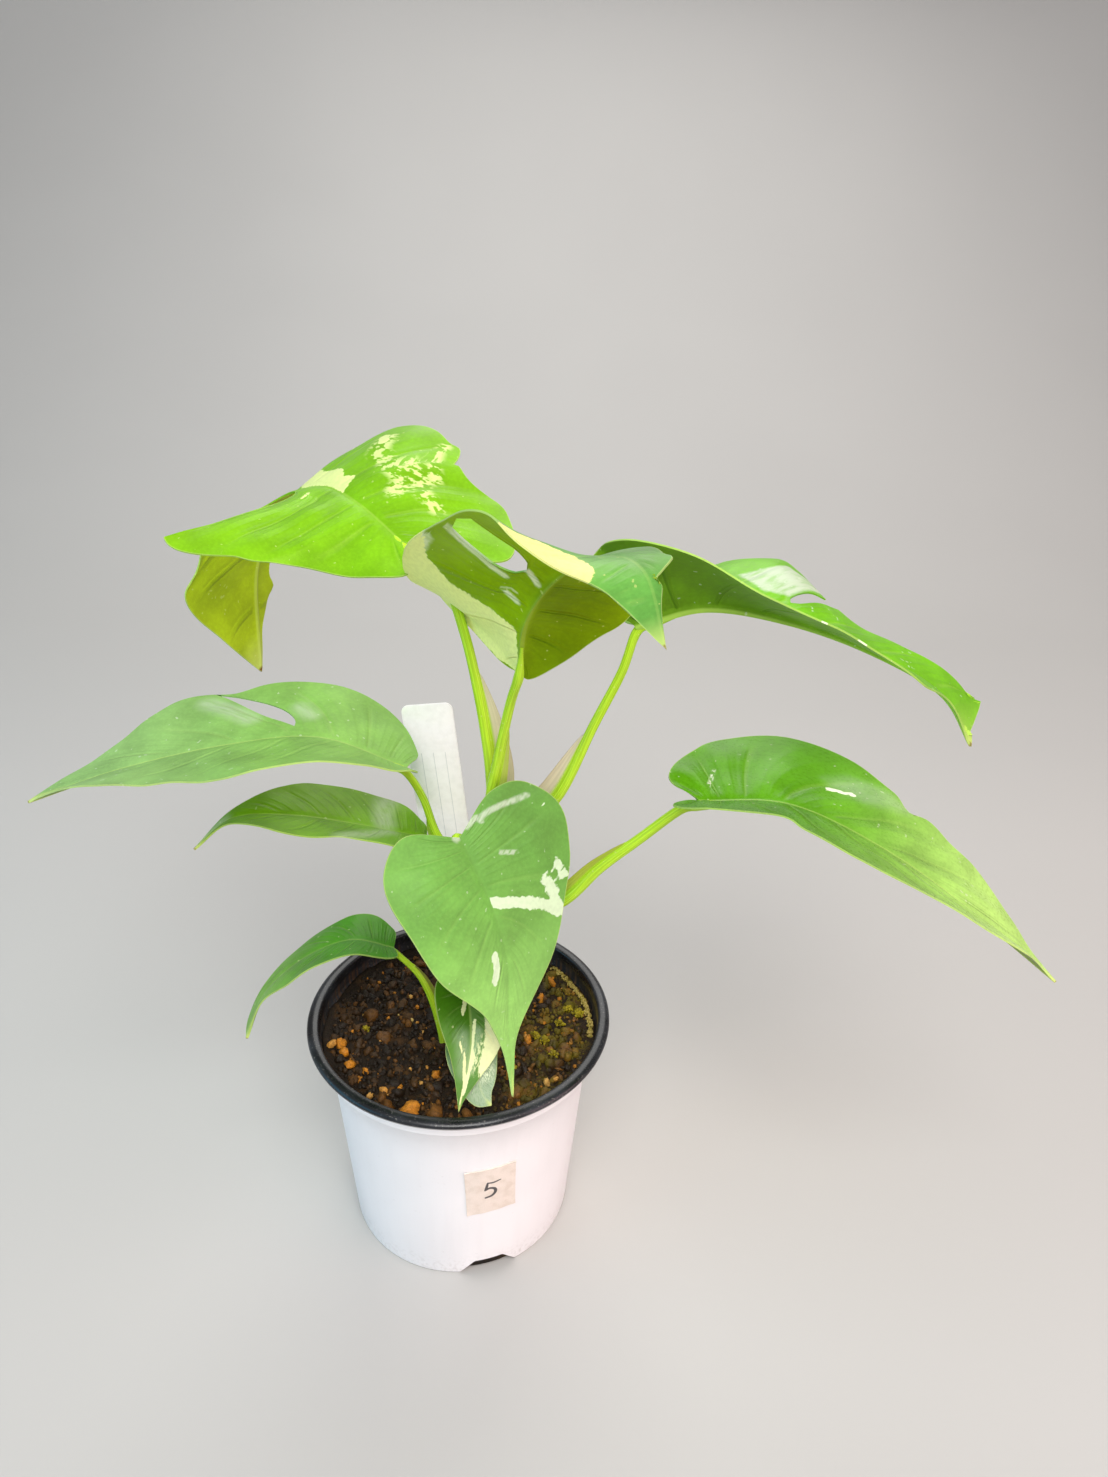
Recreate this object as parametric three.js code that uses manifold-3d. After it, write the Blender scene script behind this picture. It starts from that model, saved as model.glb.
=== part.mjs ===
// A young variegated mini monstera in a nursery pot, as a three.js scene graph.
// Millimetres, +Z up. The origin is the centre of the pot's flat underside, +X runs to the right
// and +Y away from the side that the number sticker faces.
import * as THREE from 'three';
import { mergeVertices } from 'three/addons/utils/BufferGeometryUtils.js';
import Module from 'manifold-3d';

const wasm = await Module();
wasm.setup();

// ---------------------------------------------------------------- driving dimensions

const CLEARANCE = 0.3; // gap between pieces that touch

const POT = {
  height: 85,
  rimRadius: 52.5,
  rimDrop: 3,
  stepHeight: 77.4, // fine step that runs round the wall below the rim
  stepOut: 0.5,
  baseRadius: 39.6,
  taper: 0.077, // growth of the wall's radius with height
  flare: 3.7, // what the wall adds to that between flareHeight and the step
  flareHeight: 58,
  flareCurve: 2.5,
  levels: [0, 30, 58, 66, 71, 74.5, 77.4],
  wall: 1.1,
  floor: 1.4,
  segments: 48,
};

// Drain openings cut through the foot of the wall, one of them under the sticker.
const DRAIN = { count: 3, firstAngle: -71.5, footWidth: 23, topWidth: 10, height: 6.2, depth: 9 };

const SOIL = {
  level: 76.5,
  roughness: 1.3,
  segments: 30,
  rings: [46.6, 40, 31, 21, 11],
  grains: 30,
  grainSize: [1.3, 3],
  grainReach: 42,
  seed: 11,
};

// Larger stones of the mix near the front of the rim: place and half size.
const PEBBLES = [
  { at: [-4.5, -41.5], size: 3.6 },
  { at: [-12, -39.5], size: 2.8 },
  { at: [-36, -21], size: 2.6 },
  { at: [-30.5, -30], size: 2 },
  { at: [33, 14], size: 2.4 },
];

const LABEL = {
  width: 17,
  length: 150,
  thickness: 1,
  corner: 2.5,
  pointLength: 16,
  foot: [4.2, 27, 40],
  lean: -6.3, // degrees, to the left
};

const STICKER = { width: 17, height: 22, thickness: 0.4, angle: -71.5, middle: 44, turn: -2 };

const STEM = {
  path: [[-4, -6, 48], [-3, -5, 76], [2, -3, 100], [9, -1, 130], [12.5, 0, 147], [13, 0, 156]],
  radius: [3.3, 2.5],
  joints: [0.3, 0.52, 0.72, 0.9], // where a leaf leaves the stem, as a share of its length
  jointSwell: 0.5,
  jointLength: 0.02,
};

const BLADE_THICKNESS = 0.8;
const RIB_DEPTH = 0.9; // how far the midrib stands out of the underside
const VEIN_COLUMNS = [0, 0.09, 0.38, 0.7, 1]; // steps from the midrib to the margin

// Each leaf has its midrib from base to tip and the turn of the blade about it, in degrees. Each
// half has its margin as [share of the midrib's length, distance from the midrib], and the rise
// and the curl of its surface in degrees, both from base to tip. A slit follows a vein: `at` is
// the vein, `from` and `to` are shares of the way to the margin, and `mouth` is the relative
// width of its mouth. `crowding` sets how far towards the base the veins leave the midrib.
// The petiole runs from the stem to the blade, and its sheath wing faces `wing`.
const LEAVES = {
  leaf_top_left: {
    stations: 22,
    crowding: 1.6,
    rib: [
      [-16, 14, 247], [-31, 29, 254], [-46, 47, 255],
      [-62, 62, 246], [-75, 64, 222], [-75, 57, 186],
    ],
    roll: [-24, -38, -10, -10],
    left: {
      margin: [
        [0, 0], [-0.08, 8], [0.12, 30], [0.18, 39], [0.31, 54],
        [0.66, 28], [0.79, 30], [0.9, 16], [1, 0],
      ],
      rise: [-4, 25, 5, 11],
      curl: [-13, 9, -2, -9],
      slits: [{ at: 0.56, from: 0.12, to: 1, width: 0.12, mouth: 1 }],
    },
    right: {
      margin: [
        [0, 0], [-0.19, 18], [-0.06, 33], [0.08, 32], [0.25, 38],
        [0.44, 28], [0.62, 8], [0.8, 7], [1, 0],
      ],
      rise: [0, 0, 10],
      curl: [-22, -25],
      slits: [],
    },
    petiole: [
      [12, 1, 150], [11.4, 1.8, 160], [11, 1.5, 172], [10, 1.5, 185],
      [7, 4, 203], [2.3, 8, 222], [-5, 12, 240],
    ],
    radius: [1.8, 1.3],
    wing: { facing: [1, 0, 0], from: 0.1, to: 0.5, width: 5.5 },
  },
  leaf_top_centre: {
    stations: 20,
    crowding: 1.25,
    rib: [
      [20, -11, 217], [22, -19, 236], [30, -30, 252],
      [41, -42, 261], [49, -58, 262], [53, -76, 251],
    ],
    roll: [-28, 0, 10, 47],
    left: {
      margin: [
        [0, 0], [0, 4.5], [0.18, 21.5], [0.33, 28],
        [0.52, 13], [0.74, 6.6], [0.87, 1.5], [1, 0],
      ],
      rise: [7, 10, 23, 4],
      curl: [-8, -12, -8, -12],
      slits: [],
    },
    right: {
      margin: [
        [0, 0], [-0.04, 12], [0.01, 43], [0.36, 33], [0.5, 32],
        [0.63, 26], [0.75, 13], [0.85, 8], [1, 0],
      ],
      rise: [46, 32, -18, -13],
      curl: [-24, -25, 50, -40],
      slits: [{ at: 0.445, from: 0.2, to: 0.955, width: 0.115, mouth: 0.6 }],
    },
    petiole: [[12.5, -1.5, 150], [11.6, -2.6, 160], [11, -3.8, 172], [13.3, -5, 186], [17, -8.5, 206]],
    radius: [1.8, 1.3],
    wing: { facing: [1, 0, 0], from: 0.08, to: 0.6, width: 3 },
  },
  leaf_top_right: {
    stations: 20,
    crowding: 2,
    rib: [[54, 15, 223], [74, 11, 231], [99, 6, 229], [125, 5, 220], [147, 6, 207], [160, 8, 189]],
    roll: [-10, 18, -3, -4],
    left: {
      margin: [[0, 0], [-0.05, 14], [0.06, 27], [0.4, 40], [0.46, 17], [0.68, 14], [0.9, 11], [1, 0]],
      rise: [6, 3, 12, 50],
      curl: [0, -27, -20, 0],
      slits: [{ at: 0.56, from: 0.4, to: 1, width: 0.08, mouth: 1 }],
    },
    right: {
      margin: [[0, 0], [-0.1, 18], [0.08, 33], [0.25, 23], [0.42, 20], [0.66, 16], [0.82, 4], [1, 0]],
      rise: [63, 58, 12, 0],
      curl: [0, -30, -20, -14],
      slits: [],
    },
    petiole: [[14, 0, 150], [20.5, 1.5, 159], [32, 2, 170.5], [42, 6, 193], [50, 11, 209]],
    radius: [1.8, 1.3],
    wing: { facing: [-1, 0, 0.5], from: 0.1, to: 0.5, width: 6 },
  },
  leaf_mid_left: {
    stations: 20,
    crowding: 2,
    rib: [[-15, 0, 180], [-41, -1, 190], [-69, -4, 188], [-99, -10, 182], [-127, -14, 172]],
    roll: [9, 0, -2, 10],
    left: {
      margin: [[0, 0], [-0.02, 10], [0.11, 24], [0.36, 31], [0.59, 23], [0.8, 13], [0.92, 4], [1, 0]],
      rise: [16, 8, 20],
      curl: [0, 0],
      slits: [],
    },
    right: {
      margin: [[0, 0], [-0.02, 12], [0.08, 27], [0.34, 30], [0.59, 27], [0.8, 13], [0.94, 5], [1, 0]],
      rise: [12, 10, 14],
      curl: [0, 0],
      slits: [{ at: 0.52, from: 0.17, to: 1, width: 0.07, mouth: 0.2 }],
    },
    petiole: [[9, 0, 130], [1, 4, 141], [-7, 6, 152], [-11, 4, 167]],
    radius: [1.5, 1.1],
    wing: { facing: [-1, 0, 0], from: 0.14, to: 0.5, width: 2.5 },
  },
  leaf_inner_left: {
    stations: 12,
    crowding: 2,
    rib: [[-11, 11, 148], [-34, 7, 155], [-54, 3, 160], [-71, 0, 160], [-83, -5, 151]],
    roll: [10, 6, 4],
    left: {
      margin: [[0, 0], [0, 9], [0.15, 15], [0.38, 15], [0.6, 14], [0.84, 3], [1, 0]],
      rise: [8, 7, 3],
      curl: [-5, -9],
      slits: [],
    },
    right: {
      margin: [[0, 0], [0.01, 9], [0.14, 18], [0.41, 20], [0.63, 15], [0.82, 4], [1, 0]],
      rise: [12, 14, 7],
      curl: [-6, -7],
      slits: [],
    },
    petiole: [[6, 0, 118], [-1, 4, 130], [-7, 8, 141]],
    radius: [1.3, 0.9],
    wing: { facing: [-1, 0, 0], from: 0.15, to: 0.6, width: 1.6 },
  },
  leaf_front: {
    stations: 14,
    crowding: 2,
    rib: [[3, -19, 167], [12, -26, 150], [18, -32, 132], [19, -38, 112], [21, -46, 91]],
    roll: [15, 2, 0],
    left: {
      margin: [
        [0, 0], [-0.1, 14], [-0.07, 26], [0.12, 33], [0.44, 22],
        [0.64, 11], [0.78, 3], [0.9, 1], [1, 0],
      ],
      rise: [14, 6, 5],
      curl: [0, 0],
      slits: [],
    },
    right: {
      margin: [
        [0, 0], [-0.09, 16], [0.02, 27], [0.22, 28], [0.47, 24],
        [0.65, 11], [0.79, 4], [0.9, 1.5], [1, 0],
      ],
      rise: [3, 7, 6],
      curl: [-14, -11],
      slits: [],
    },
    petiole: [[10, -1, 136], [8, -7, 152], [5.5, -14, 162]],
    radius: [1.5, 1.1],
    wing: { facing: [1, 0, 0.2], from: 0.2, to: 0.6, width: 1.8 },
  },
  leaf_right: {
    stations: 20,
    crowding: 2,
    rib: [[75, -6, 175], [103, -7, 175], [131, -20, 167], [159, -29, 150], [185, -30, 129]],
    roll: [-17, -13, -12, -20],
    left: {
      margin: [
        [0, 0], [-0.07, 11], [0.03, 28], [0.24, 34], [0.5, 26],
        [0.73, 19], [0.88, 6], [0.95, 2], [1, 0],
      ],
      rise: [28, 20, 24],
      curl: [0, 0],
      slits: [],
    },
    right: {
      margin: [
        [0, 0], [-0.07, 12], [0.05, 22], [0.3, 28], [0.52, 20],
        [0.74, 15], [0.88, 5], [0.94, 1.5], [1, 0],
      ],
      rise: [7, 2, 22],
      curl: [0, 0],
      slits: [],
    },
    petiole: [
      [8, -1, 124], [20, -3, 128], [34.6, -3, 134],
      [46, -4, 148], [58, -5, 160], [69, -6, 171],
    ],
    radius: [2.1, 1.4],
    wing: { facing: [-0.7, 0, 0.7], from: 0.12, to: 0.6, width: 3.6 },
  },
  leaf_low_left: {
    stations: 12,
    crowding: 2,
    rib: [[-21, -4, 114], [-35, -7, 119], [-50, -11, 114], [-63, -15, 102], [-69, -20, 87]],
    roll: [0, 10, 0],
    left: {
      margin: [[0, 0], [0, 6], [0.15, 9], [0.45, 12], [0.73, 5], [0.9, 1], [1, 0]],
      rise: [6, 6, 4],
      curl: [-7, -8],
      slits: [],
    },
    right: {
      margin: [[0, 0], [0, 9], [0.14, 14], [0.44, 12], [0.73, 5], [0.93, 4], [1, 0]],
      rise: [7, 0, 8],
      curl: [-4, -7],
      slits: [],
    },
    petiole: [[-5, -7, 66], [-5.5, -8, 80], [-9, -6, 94], [-13.5, -5, 104]],
    radius: [1.4, 0.9],
    wing: { facing: [1, 0, 0.3], from: 0.3, to: 0.75, width: 1.6 },
  },
  leaf_low_front: {
    stations: 10,
    crowding: 2,
    rib: [[4, -20, 116], [6, -27, 109], [7, -34, 101], [6, -40, 93], [4, -46, 84]],
    roll: [0, 0],
    left: {
      margin: [[0, 0], [-0.02, 7], [0.15, 10], [0.45, 10], [0.74, 4], [0.9, 1], [1, 0]],
      rise: [10, 8, 2],
      curl: [0, 0],
      slits: [],
    },
    right: {
      margin: [[0, 0], [-0.02, 8], [0.15, 11], [0.44, 9], [0.74, 4], [0.9, 1.5], [1, 0]],
      rise: [9, 9, 2],
      curl: [0, 0],
      slits: [],
    },
    petiole: [[-2, -9, 68], [-1.5, -11, 92], [1, -15.5, 108]],
    radius: [1.1, 0.8],
    wing: { facing: [1, 0, 0], from: 0.3, to: 0.7, width: 1 },
  },
  leaf_small_front: {
    stations: 8,
    crowding: 2,
    rib: [[6, -28, 101], [7, -33, 96], [9, -37, 92], [11, -41, 87], [14, -43, 84]],
    roll: [0, 0],
    left: {
      margin: [[0, 0], [0, 5], [0.2, 9], [0.6, 6], [0.85, 3], [1, 0]],
      rise: [0, 0],
      curl: [0, 0],
      slits: [],
    },
    right: {
      margin: [[0, 0], [0, 5], [0.2, 8], [0.6, 7], [0.86, 4], [1, 0]],
      rise: [0, 0],
      curl: [0, 0],
      slits: [],
    },
    petiole: [[2, -10, 68], [3, -15, 84], [4.5, -23, 97]],
    radius: [1, 0.7],
    wing: { facing: [1, 0, 0], from: 0.3, to: 0.7, width: 0.8 },
  },
};

const COLOURS = {
  pot: { color: 0xe9e6e8, roughness: 0.42, metalness: 0 },
  soil: { color: 0x3a2a1c, roughness: 0.95, metalness: 0 },
  plant_label: { color: 0xe8e8e6, roughness: 0.4, metalness: 0 },
  number_sticker: { color: 0xdccfc2, roughness: 0.8, metalness: 0 },
  stem: { color: 0x6f9a35, roughness: 0.5, metalness: 0 },
  leaf_top_left: { color: 0x7fb52c, roughness: 0.35, metalness: 0 },
  leaf_top_centre: { color: 0x5f7d3a, roughness: 0.4, metalness: 0 },
  leaf_top_right: { color: 0x6e9a3a, roughness: 0.4, metalness: 0 },
  leaf_mid_left: { color: 0x4f7a3e, roughness: 0.45, metalness: 0 },
  leaf_inner_left: { color: 0x3f6b2c, roughness: 0.45, metalness: 0 },
  leaf_front: { color: 0x5f9434, roughness: 0.4, metalness: 0 },
  leaf_right: { color: 0x579030, roughness: 0.35, metalness: 0 },
  leaf_low_left: { color: 0x5a8a35, roughness: 0.4, metalness: 0 },
  leaf_low_front: { color: 0xa3b268, roughness: 0.4, metalness: 0 },
  leaf_small_front: { color: 0xb4c3a4, roughness: 0.4, metalness: 0 },
};

// ---------------------------------------------------------------- curves and solids

const { degToRad, clamp, lerp } = THREE.MathUtils;
const vector = ([x, y, z = 0]) => new THREE.Vector3(x, y, z);

// A smooth curve through points of two or three coordinates.
function curve(points) {
  return new THREE.CatmullRomCurve3(points.map(vector), false, 'catmullrom', 0.5);
}

// A smooth function through evenly spaced values.
function profile(values) {
  const line = curve(values.map((value) => [value, 0]));
  return (share) => line.getPoint(share).x;
}

function meshGeometry(points, faces) {
  const geometry = new THREE.BufferGeometry().setFromPoints(points);
  geometry.setIndex(faces.flat());
  return geometry;
}

function toSolid(geometry) {
  const bare = geometry.clone();
  bare.deleteAttribute('normal');
  bare.deleteAttribute('uv');
  const merged = mergeVertices(bare, 1e-3);
  const vertProperties = new Float32Array(merged.attributes.position.array);
  const triVerts = new Uint32Array(merged.index.array);
  return new wasm.Manifold(new wasm.Mesh({ numProp: 3, vertProperties, triVerts }));
}

function toGeometry(solid) {
  const { vertProperties, triVerts } = solid.getMesh();
  const geometry = new THREE.BufferGeometry();
  geometry.setAttribute('position', new THREE.BufferAttribute(vertProperties, 3));
  geometry.setIndex(new THREE.BufferAttribute(triVerts, 1));
  return geometry;
}

// Cutting can leave scraps behind, so only the largest body stays.
function largestBody(solid) {
  return solid.decompose().reduce((best, body) => (body.volume() > best.volume() ? body : best));
}

const join = (solids) => solids.reduce((whole, solid) => whole.add(solid));
const cut = (solid, tools) => tools.reduce((rest, tool) => rest.subtract(tool), solid);

// A rod along a path. `radius` is a function of the share of the length, and `fin` adds to the
// radius on the side that faces the direction `facing`.
function rod(points, { radius, fin = () => 0, facing = [1, 0, 0], steps = 12, sides = 8 }) {
  const path = curve(points);
  const vertices = [];
  for (let step = 0; step <= steps; step += 1) {
    const share = step / steps;
    const centre = path.getPointAt(share);
    const along = path.getTangentAt(share);
    const front = vector(facing).projectOnPlane(along).normalize();
    const side = along.clone().cross(front);
    for (let corner = 0; corner < sides; corner += 1) {
      const angle = (2 * Math.PI * corner) / sides;
      const reach = radius(share) + (corner === 0 ? fin(share) : 0);
      vertices.push(centre.clone()
        .addScaledVector(front, Math.cos(angle) * reach)
        .addScaledVector(side, Math.sin(angle) * radius(share)));
    }
  }
  const start = vertices.push(path.getPoint(0)) - 1;
  const end = vertices.push(path.getPoint(1)) - 1;
  const faces = [];
  for (let corner = 0; corner < sides; corner += 1) {
    const next = (corner + 1) % sides;
    for (let step = 0; step < steps; step += 1) {
      const low = step * sides;
      const high = low + sides;
      faces.push([low + corner, low + next, high + next]);
      faces.push([low + corner, high + next, high + corner]);
    }
    faces.push([start, next, corner]);
    faces.push([end, steps * sides + corner, steps * sides + next]);
  }
  return toSolid(meshGeometry(vertices, faces));
}

// ---------------------------------------------------------------- leaves

const RIB_SAMPLES = 80;

// The midrib as a curve with directions that turn with it: along, across (to the right) and up.
function midrib({ rib, roll }) {
  const path = curve(rib);
  const points = Array.from({ length: RIB_SAMPLES + 1 }, (_, i) => path.getPoint(i / RIB_SAMPLES));
  const reached = [0];
  for (let i = 1; i <= RIB_SAMPLES; i += 1) {
    reached.push(reached[i - 1] + points[i].distanceTo(points[i - 1]));
  }
  const length = reached[RIB_SAMPLES];
  const turn = profile(roll);
  const frames = [];
  let across = null;
  for (let i = 0; i <= RIB_SAMPLES; i += 1) {
    const before = points[Math.max(i - 1, 0)];
    const after = points[Math.min(i + 1, RIB_SAMPLES)];
    const along = after.clone().sub(before).normalize();
    across = (across ?? along.clone().cross(vector([0, 0, 1]))).projectOnPlane(along).normalize();
    const rolled = across.clone().applyAxisAngle(along, degToRad(turn(reached[i] / length)));
    frames.push({ point: points[i], along, across: rolled, up: rolled.clone().cross(along) });
  }

  // The frame at a distance from the base; past either end the midrib goes straight on.
  function at(distance) {
    const inside = clamp(distance, 0, length);
    const next = Math.max(1, reached.findIndex((value) => value >= inside - 1e-9));
    const share = (inside - reached[next - 1]) / (reached[next] - reached[next - 1]);
    const mix = (key) => frames[next - 1][key].clone().lerp(frames[next][key], share);
    const along = mix('along');
    return {
      point: mix('point').addScaledVector(along, distance - inside),
      across: mix('across'),
      up: mix('up'),
    };
  }
  return { length, at };
}

// Half of a blade as a function of the vein's share along the midrib and the share of the way
// from the midrib to the margin. `lip` picks a side of a slit: -1 towards the base, 1 the tip.
function halfBlade(leaf, spine, half, side) {
  const margin = curve(half.margin);
  const rise = profile(half.rise);
  const curl = profile(half.curl);
  const reference = Math.max(...half.margin.map(([, width]) => width));

  function pushedApart(vein, outward, lip) {
    let result = vein;
    for (const slit of half.slits) {
      const grown = clamp((outward - slit.from) / (slit.to - slit.from), 0, 1);
      const opening = clamp(grown / 0.35, 0, 1);
      const flare = 1 + (slit.mouth - 1) * clamp((grown - 0.35) / 0.65, 0, 1);
      const closed = slit.to < 1 && outward > slit.to;
      const gap = closed ? 0 : (slit.width / 2) * Math.sqrt(1 - (1 - opening) ** 2) * flare;
      const reach = 1.6 * slit.width;
      const offset = result - slit.at;
      const away = Math.abs(offset);
      const direction = away < 1e-9 ? lip : Math.sign(offset);
      if (away < reach) {
        result = slit.at + direction * (gap + (away * (reach - gap)) / reach);
      }
    }
    return result;
  }

  return (vein, outward, lip) => {
    const moved = pushedApart(vein, outward, lip);
    const root = spine.length * clamp(moved, 0, 1) ** leaf.crowding;
    const edge = margin.getPoint(clamp(moved, 0, 1));
    const edgeX = edge.x * spine.length;
    const edgeY = Math.max(edge.y, 0);
    const bowX = lerp(root, edgeX, 0.25);
    const bowY = 0.55 * edgeY;
    const rest = 1 - outward;
    const x = rest * rest * root + 2 * outward * rest * bowX + outward * outward * edgeX;
    const y = 2 * outward * rest * bowY + outward * outward * edgeY;
    const share = clamp(x / spine.length, 0, 1);
    const tilt = degToRad(rise(share));
    const bend = degToRad(curl(share)) / reference || 1e-6;
    const sideways = (Math.sin(tilt + bend * y) - Math.sin(tilt)) / bend;
    const lift = (Math.cos(tilt) - Math.cos(tilt + bend * y)) / bend;
    const frame = spine.at(x);
    return frame.point.addScaledVector(frame.across, side * sideways).addScaledVector(frame.up, lift);
  };
}

// Evenly spaced steps from 0 to 1, where the nearest one moves onto each wanted value.
function stepsThrough(steps, wanted) {
  const result = [...steps];
  for (const value of wanted) {
    const distances = result.slice(1, -1).map((step) => Math.abs(step - value));
    result[1 + distances.indexOf(Math.min(...distances))] = value;
  }
  return result;
}

// The blade's upper face as shared vertices and triangles. The lips of a slit have vertices of
// their own, and all veins end in one point at the base and one at the tip.
function bladeSheet(leaf, spine) {
  const even = Array.from({ length: leaf.stations + 1 }, (_, i) => i / leaf.stations);
  const slits = [...leaf.left.slits, ...leaf.right.slits];
  const veins = stepsThrough(even, slits.map((slit) => slit.at));
  const last = veins.length - 1;
  const points = [];
  const onRib = [];
  const faces = [];
  const known = new Map();
  for (const [half, side] of [[leaf.left, -1], [leaf.right, 1]]) {
    const place = halfBlade(leaf, spine, half, side);
    const ends = half.slits.flatMap((slit) => [slit.from, slit.to]).filter((value) => value < 1);
    const columns = stepsThrough(VEIN_COLUMNS, ends);

    const vertex = (i, j, lip) => {
      const slit = half.slits.find(({ at }) => at === veins[i]);
      const open = slit && columns[j] > slit.from && (columns[j] < slit.to || slit.to === 1);
      let key = `${side} ${i} ${j} ${open ? lip : 0}`;
      if (i === 0 || i === last) {
        key = `end ${i}`;
      } else if (j === 0) {
        key = `rib ${i}`;
      }
      if (!known.has(key)) {
        known.set(key, points.push(place(veins[i], columns[j], lip)) - 1);
        onRib.push(i > 0 && i < last && j === 0);
      }
      return known.get(key);
    };

    for (let i = 0; i < last; i += 1) {
      for (let j = 0; j < columns.length - 1; j += 1) {
        const near = [vertex(i, j, 1), vertex(i, j + 1, 1)];
        const far = [vertex(i + 1, j, -1), vertex(i + 1, j + 1, -1)];
        const round = [near[0], far[0], far[1], near[1]];
        const [a, b, c, d] = side === 1 ? round.reverse() : round;
        faces.push(...[[a, b, c], [a, c, d]].filter((face) => new Set(face).size === 3));
      }
    }
  }
  return { points, onRib, faces };
}

// The sheet thickened to both sides, with the midrib standing out below.
function blade(leaf, spine) {
  const { points, onRib, faces } = bladeSheet(leaf, spine);
  const sheet = meshGeometry(points, faces);
  sheet.computeVertexNormals();
  const { normal } = sheet.attributes;
  const offset = (i, distance) => {
    const direction = new THREE.Vector3().fromBufferAttribute(normal, i);
    return points[i].clone().addScaledVector(direction, distance);
  };
  const upper = points.map((_, i) => offset(i, BLADE_THICKNESS / 2));
  const lower = points.map((_, i) => offset(i, -BLADE_THICKNESS / 2 - (onRib[i] ? RIB_DEPTH : 0)));
  const count = points.length;
  const walls = [];
  const edges = new Set(faces.flatMap(([a, b, c]) => [`${a} ${b}`, `${b} ${c}`, `${c} ${a}`]));
  for (const edge of edges) {
    const [a, b] = edge.split(' ').map(Number);
    if (!edges.has(`${b} ${a}`)) {
      walls.push([b, a, a + count], [b, a + count, b + count]);
    }
  }
  const underside = faces.map(([a, b, c]) => [a + count, c + count, b + count]);
  return toSolid(meshGeometry([...upper, ...lower], [...faces, ...underside, ...walls]));
}

// The petiole runs on under the base of the blade as the thick start of the midrib.
function petiole(leaf, spine, grow) {
  const under = [0, 0.06, 0.14].map((share) => {
    const { point, up } = spine.at(share * spine.length);
    return point.addScaledVector(up, -0.7).toArray();
  });
  const [thick, thin] = leaf.radius;
  const { facing, from, to, width } = leaf.wing;
  return rod([...leaf.petiole, ...under], {
    facing,
    steps: 4 + 2 * leaf.petiole.length,
    radius: (share) => lerp(thick, share > 0.9 ? 0.7 * thin : thin, share) + grow,
    fin: (share) => width * Math.sin(Math.PI * clamp((share - from) / (to - from), 0, 1)) ** 0.7,
  });
}

function stem(grow) {
  const [low, high] = STEM.radius;
  const swell = (share) => STEM.joints
    .reduce((sum, joint) => sum + Math.exp(-(((share - joint) / STEM.jointLength) ** 2)), 0);
  const [[footX, footY, footZ], ...rest] = STEM.path;
  const [topX, topY, topZ] = rest.pop();
  return rod([[footX, footY, footZ - grow], ...rest, [topX, topY, topZ + grow]], {
    steps: 24,
    radius: (share) => lerp(low, high, share) + STEM.jointSwell * swell(share) + grow,
  });
}

// ---------------------------------------------------------------- pot, soil, label, sticker

function outerRadius(height) {
  const { baseRadius, taper, flare, flareHeight, flareCurve, stepHeight } = POT;
  const share = clamp((height - flareHeight) / (stepHeight - flareHeight), 0, 1);
  return baseRadius + taper * height + flare * share ** flareCurve;
}

const innerRadius = (height) => outerRadius(height) - POT.wall;

function turned(outline, segments) {
  const points = outline.map(([radius, height]) => new THREE.Vector2(radius, height));
  return new THREE.LatheGeometry(points, segments).rotateX(Math.PI / 2);
}

function pot() {
  const { height, rimRadius, rimDrop, stepHeight, stepOut, baseRadius, wall, floor, levels } = POT;
  const stepRadius = outerRadius(stepHeight);
  const neck = stepRadius + stepOut + 0.2;
  const above = levels.slice(1);
  const body = toSolid(turned([
    [0, 0],
    [baseRadius - 1, 0],
    [baseRadius, 1],
    ...above.map((level) => [outerRadius(level), level]),
    [stepRadius + stepOut, stepHeight + 0.5],
    [neck, height - rimDrop],
    [rimRadius - 0.8, height - rimDrop],
    [rimRadius, height - rimDrop + 1],
    [rimRadius, height - 1.2],
    [rimRadius - 1, height - 0.2],
    [neck, height],
    [neck - wall - 0.2, height - 0.8],
    [neck - wall - 0.5, height - rimDrop],
    ...above.reverse().map((level) => [innerRadius(level), level]),
    [innerRadius(floor), floor],
    [0, floor],
  ], POT.segments));
  return cut(body, drains());
}

// Wedge-shaped openings, wider at the foot, as solids to cut from the wall and the floor's edge.
function drains() {
  const { count, firstAngle, footWidth, topWidth, height, depth } = DRAIN;
  const below = 1;
  const outline = new THREE.Shape([
    new THREE.Vector2(-footWidth / 2, -below),
    new THREE.Vector2(footWidth / 2, -below),
    new THREE.Vector2(topWidth / 2, height),
    new THREE.Vector2(-topWidth / 2, height),
  ]);
  return Array.from({ length: count }, (_, i) => {
    const wedge = new THREE.ExtrudeGeometry(outline, { depth, bevelEnabled: false });
    wedge.rotateX(Math.PI / 2).rotateZ(Math.PI / 2).translate(POT.baseRadius - depth / 2, 0, 0);
    return toSolid(wedge.rotateZ(degToRad(firstAngle + (360 * i) / count)));
  });
}

// A repeatable random number from 0 to 1 at each call.
function seededRandom(seed) {
  let state = seed;
  return () => {
    state = (Math.imul(state, 1664525) + 1013904223) >>> 0;
    return state / 2 ** 32;
  };
}

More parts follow.
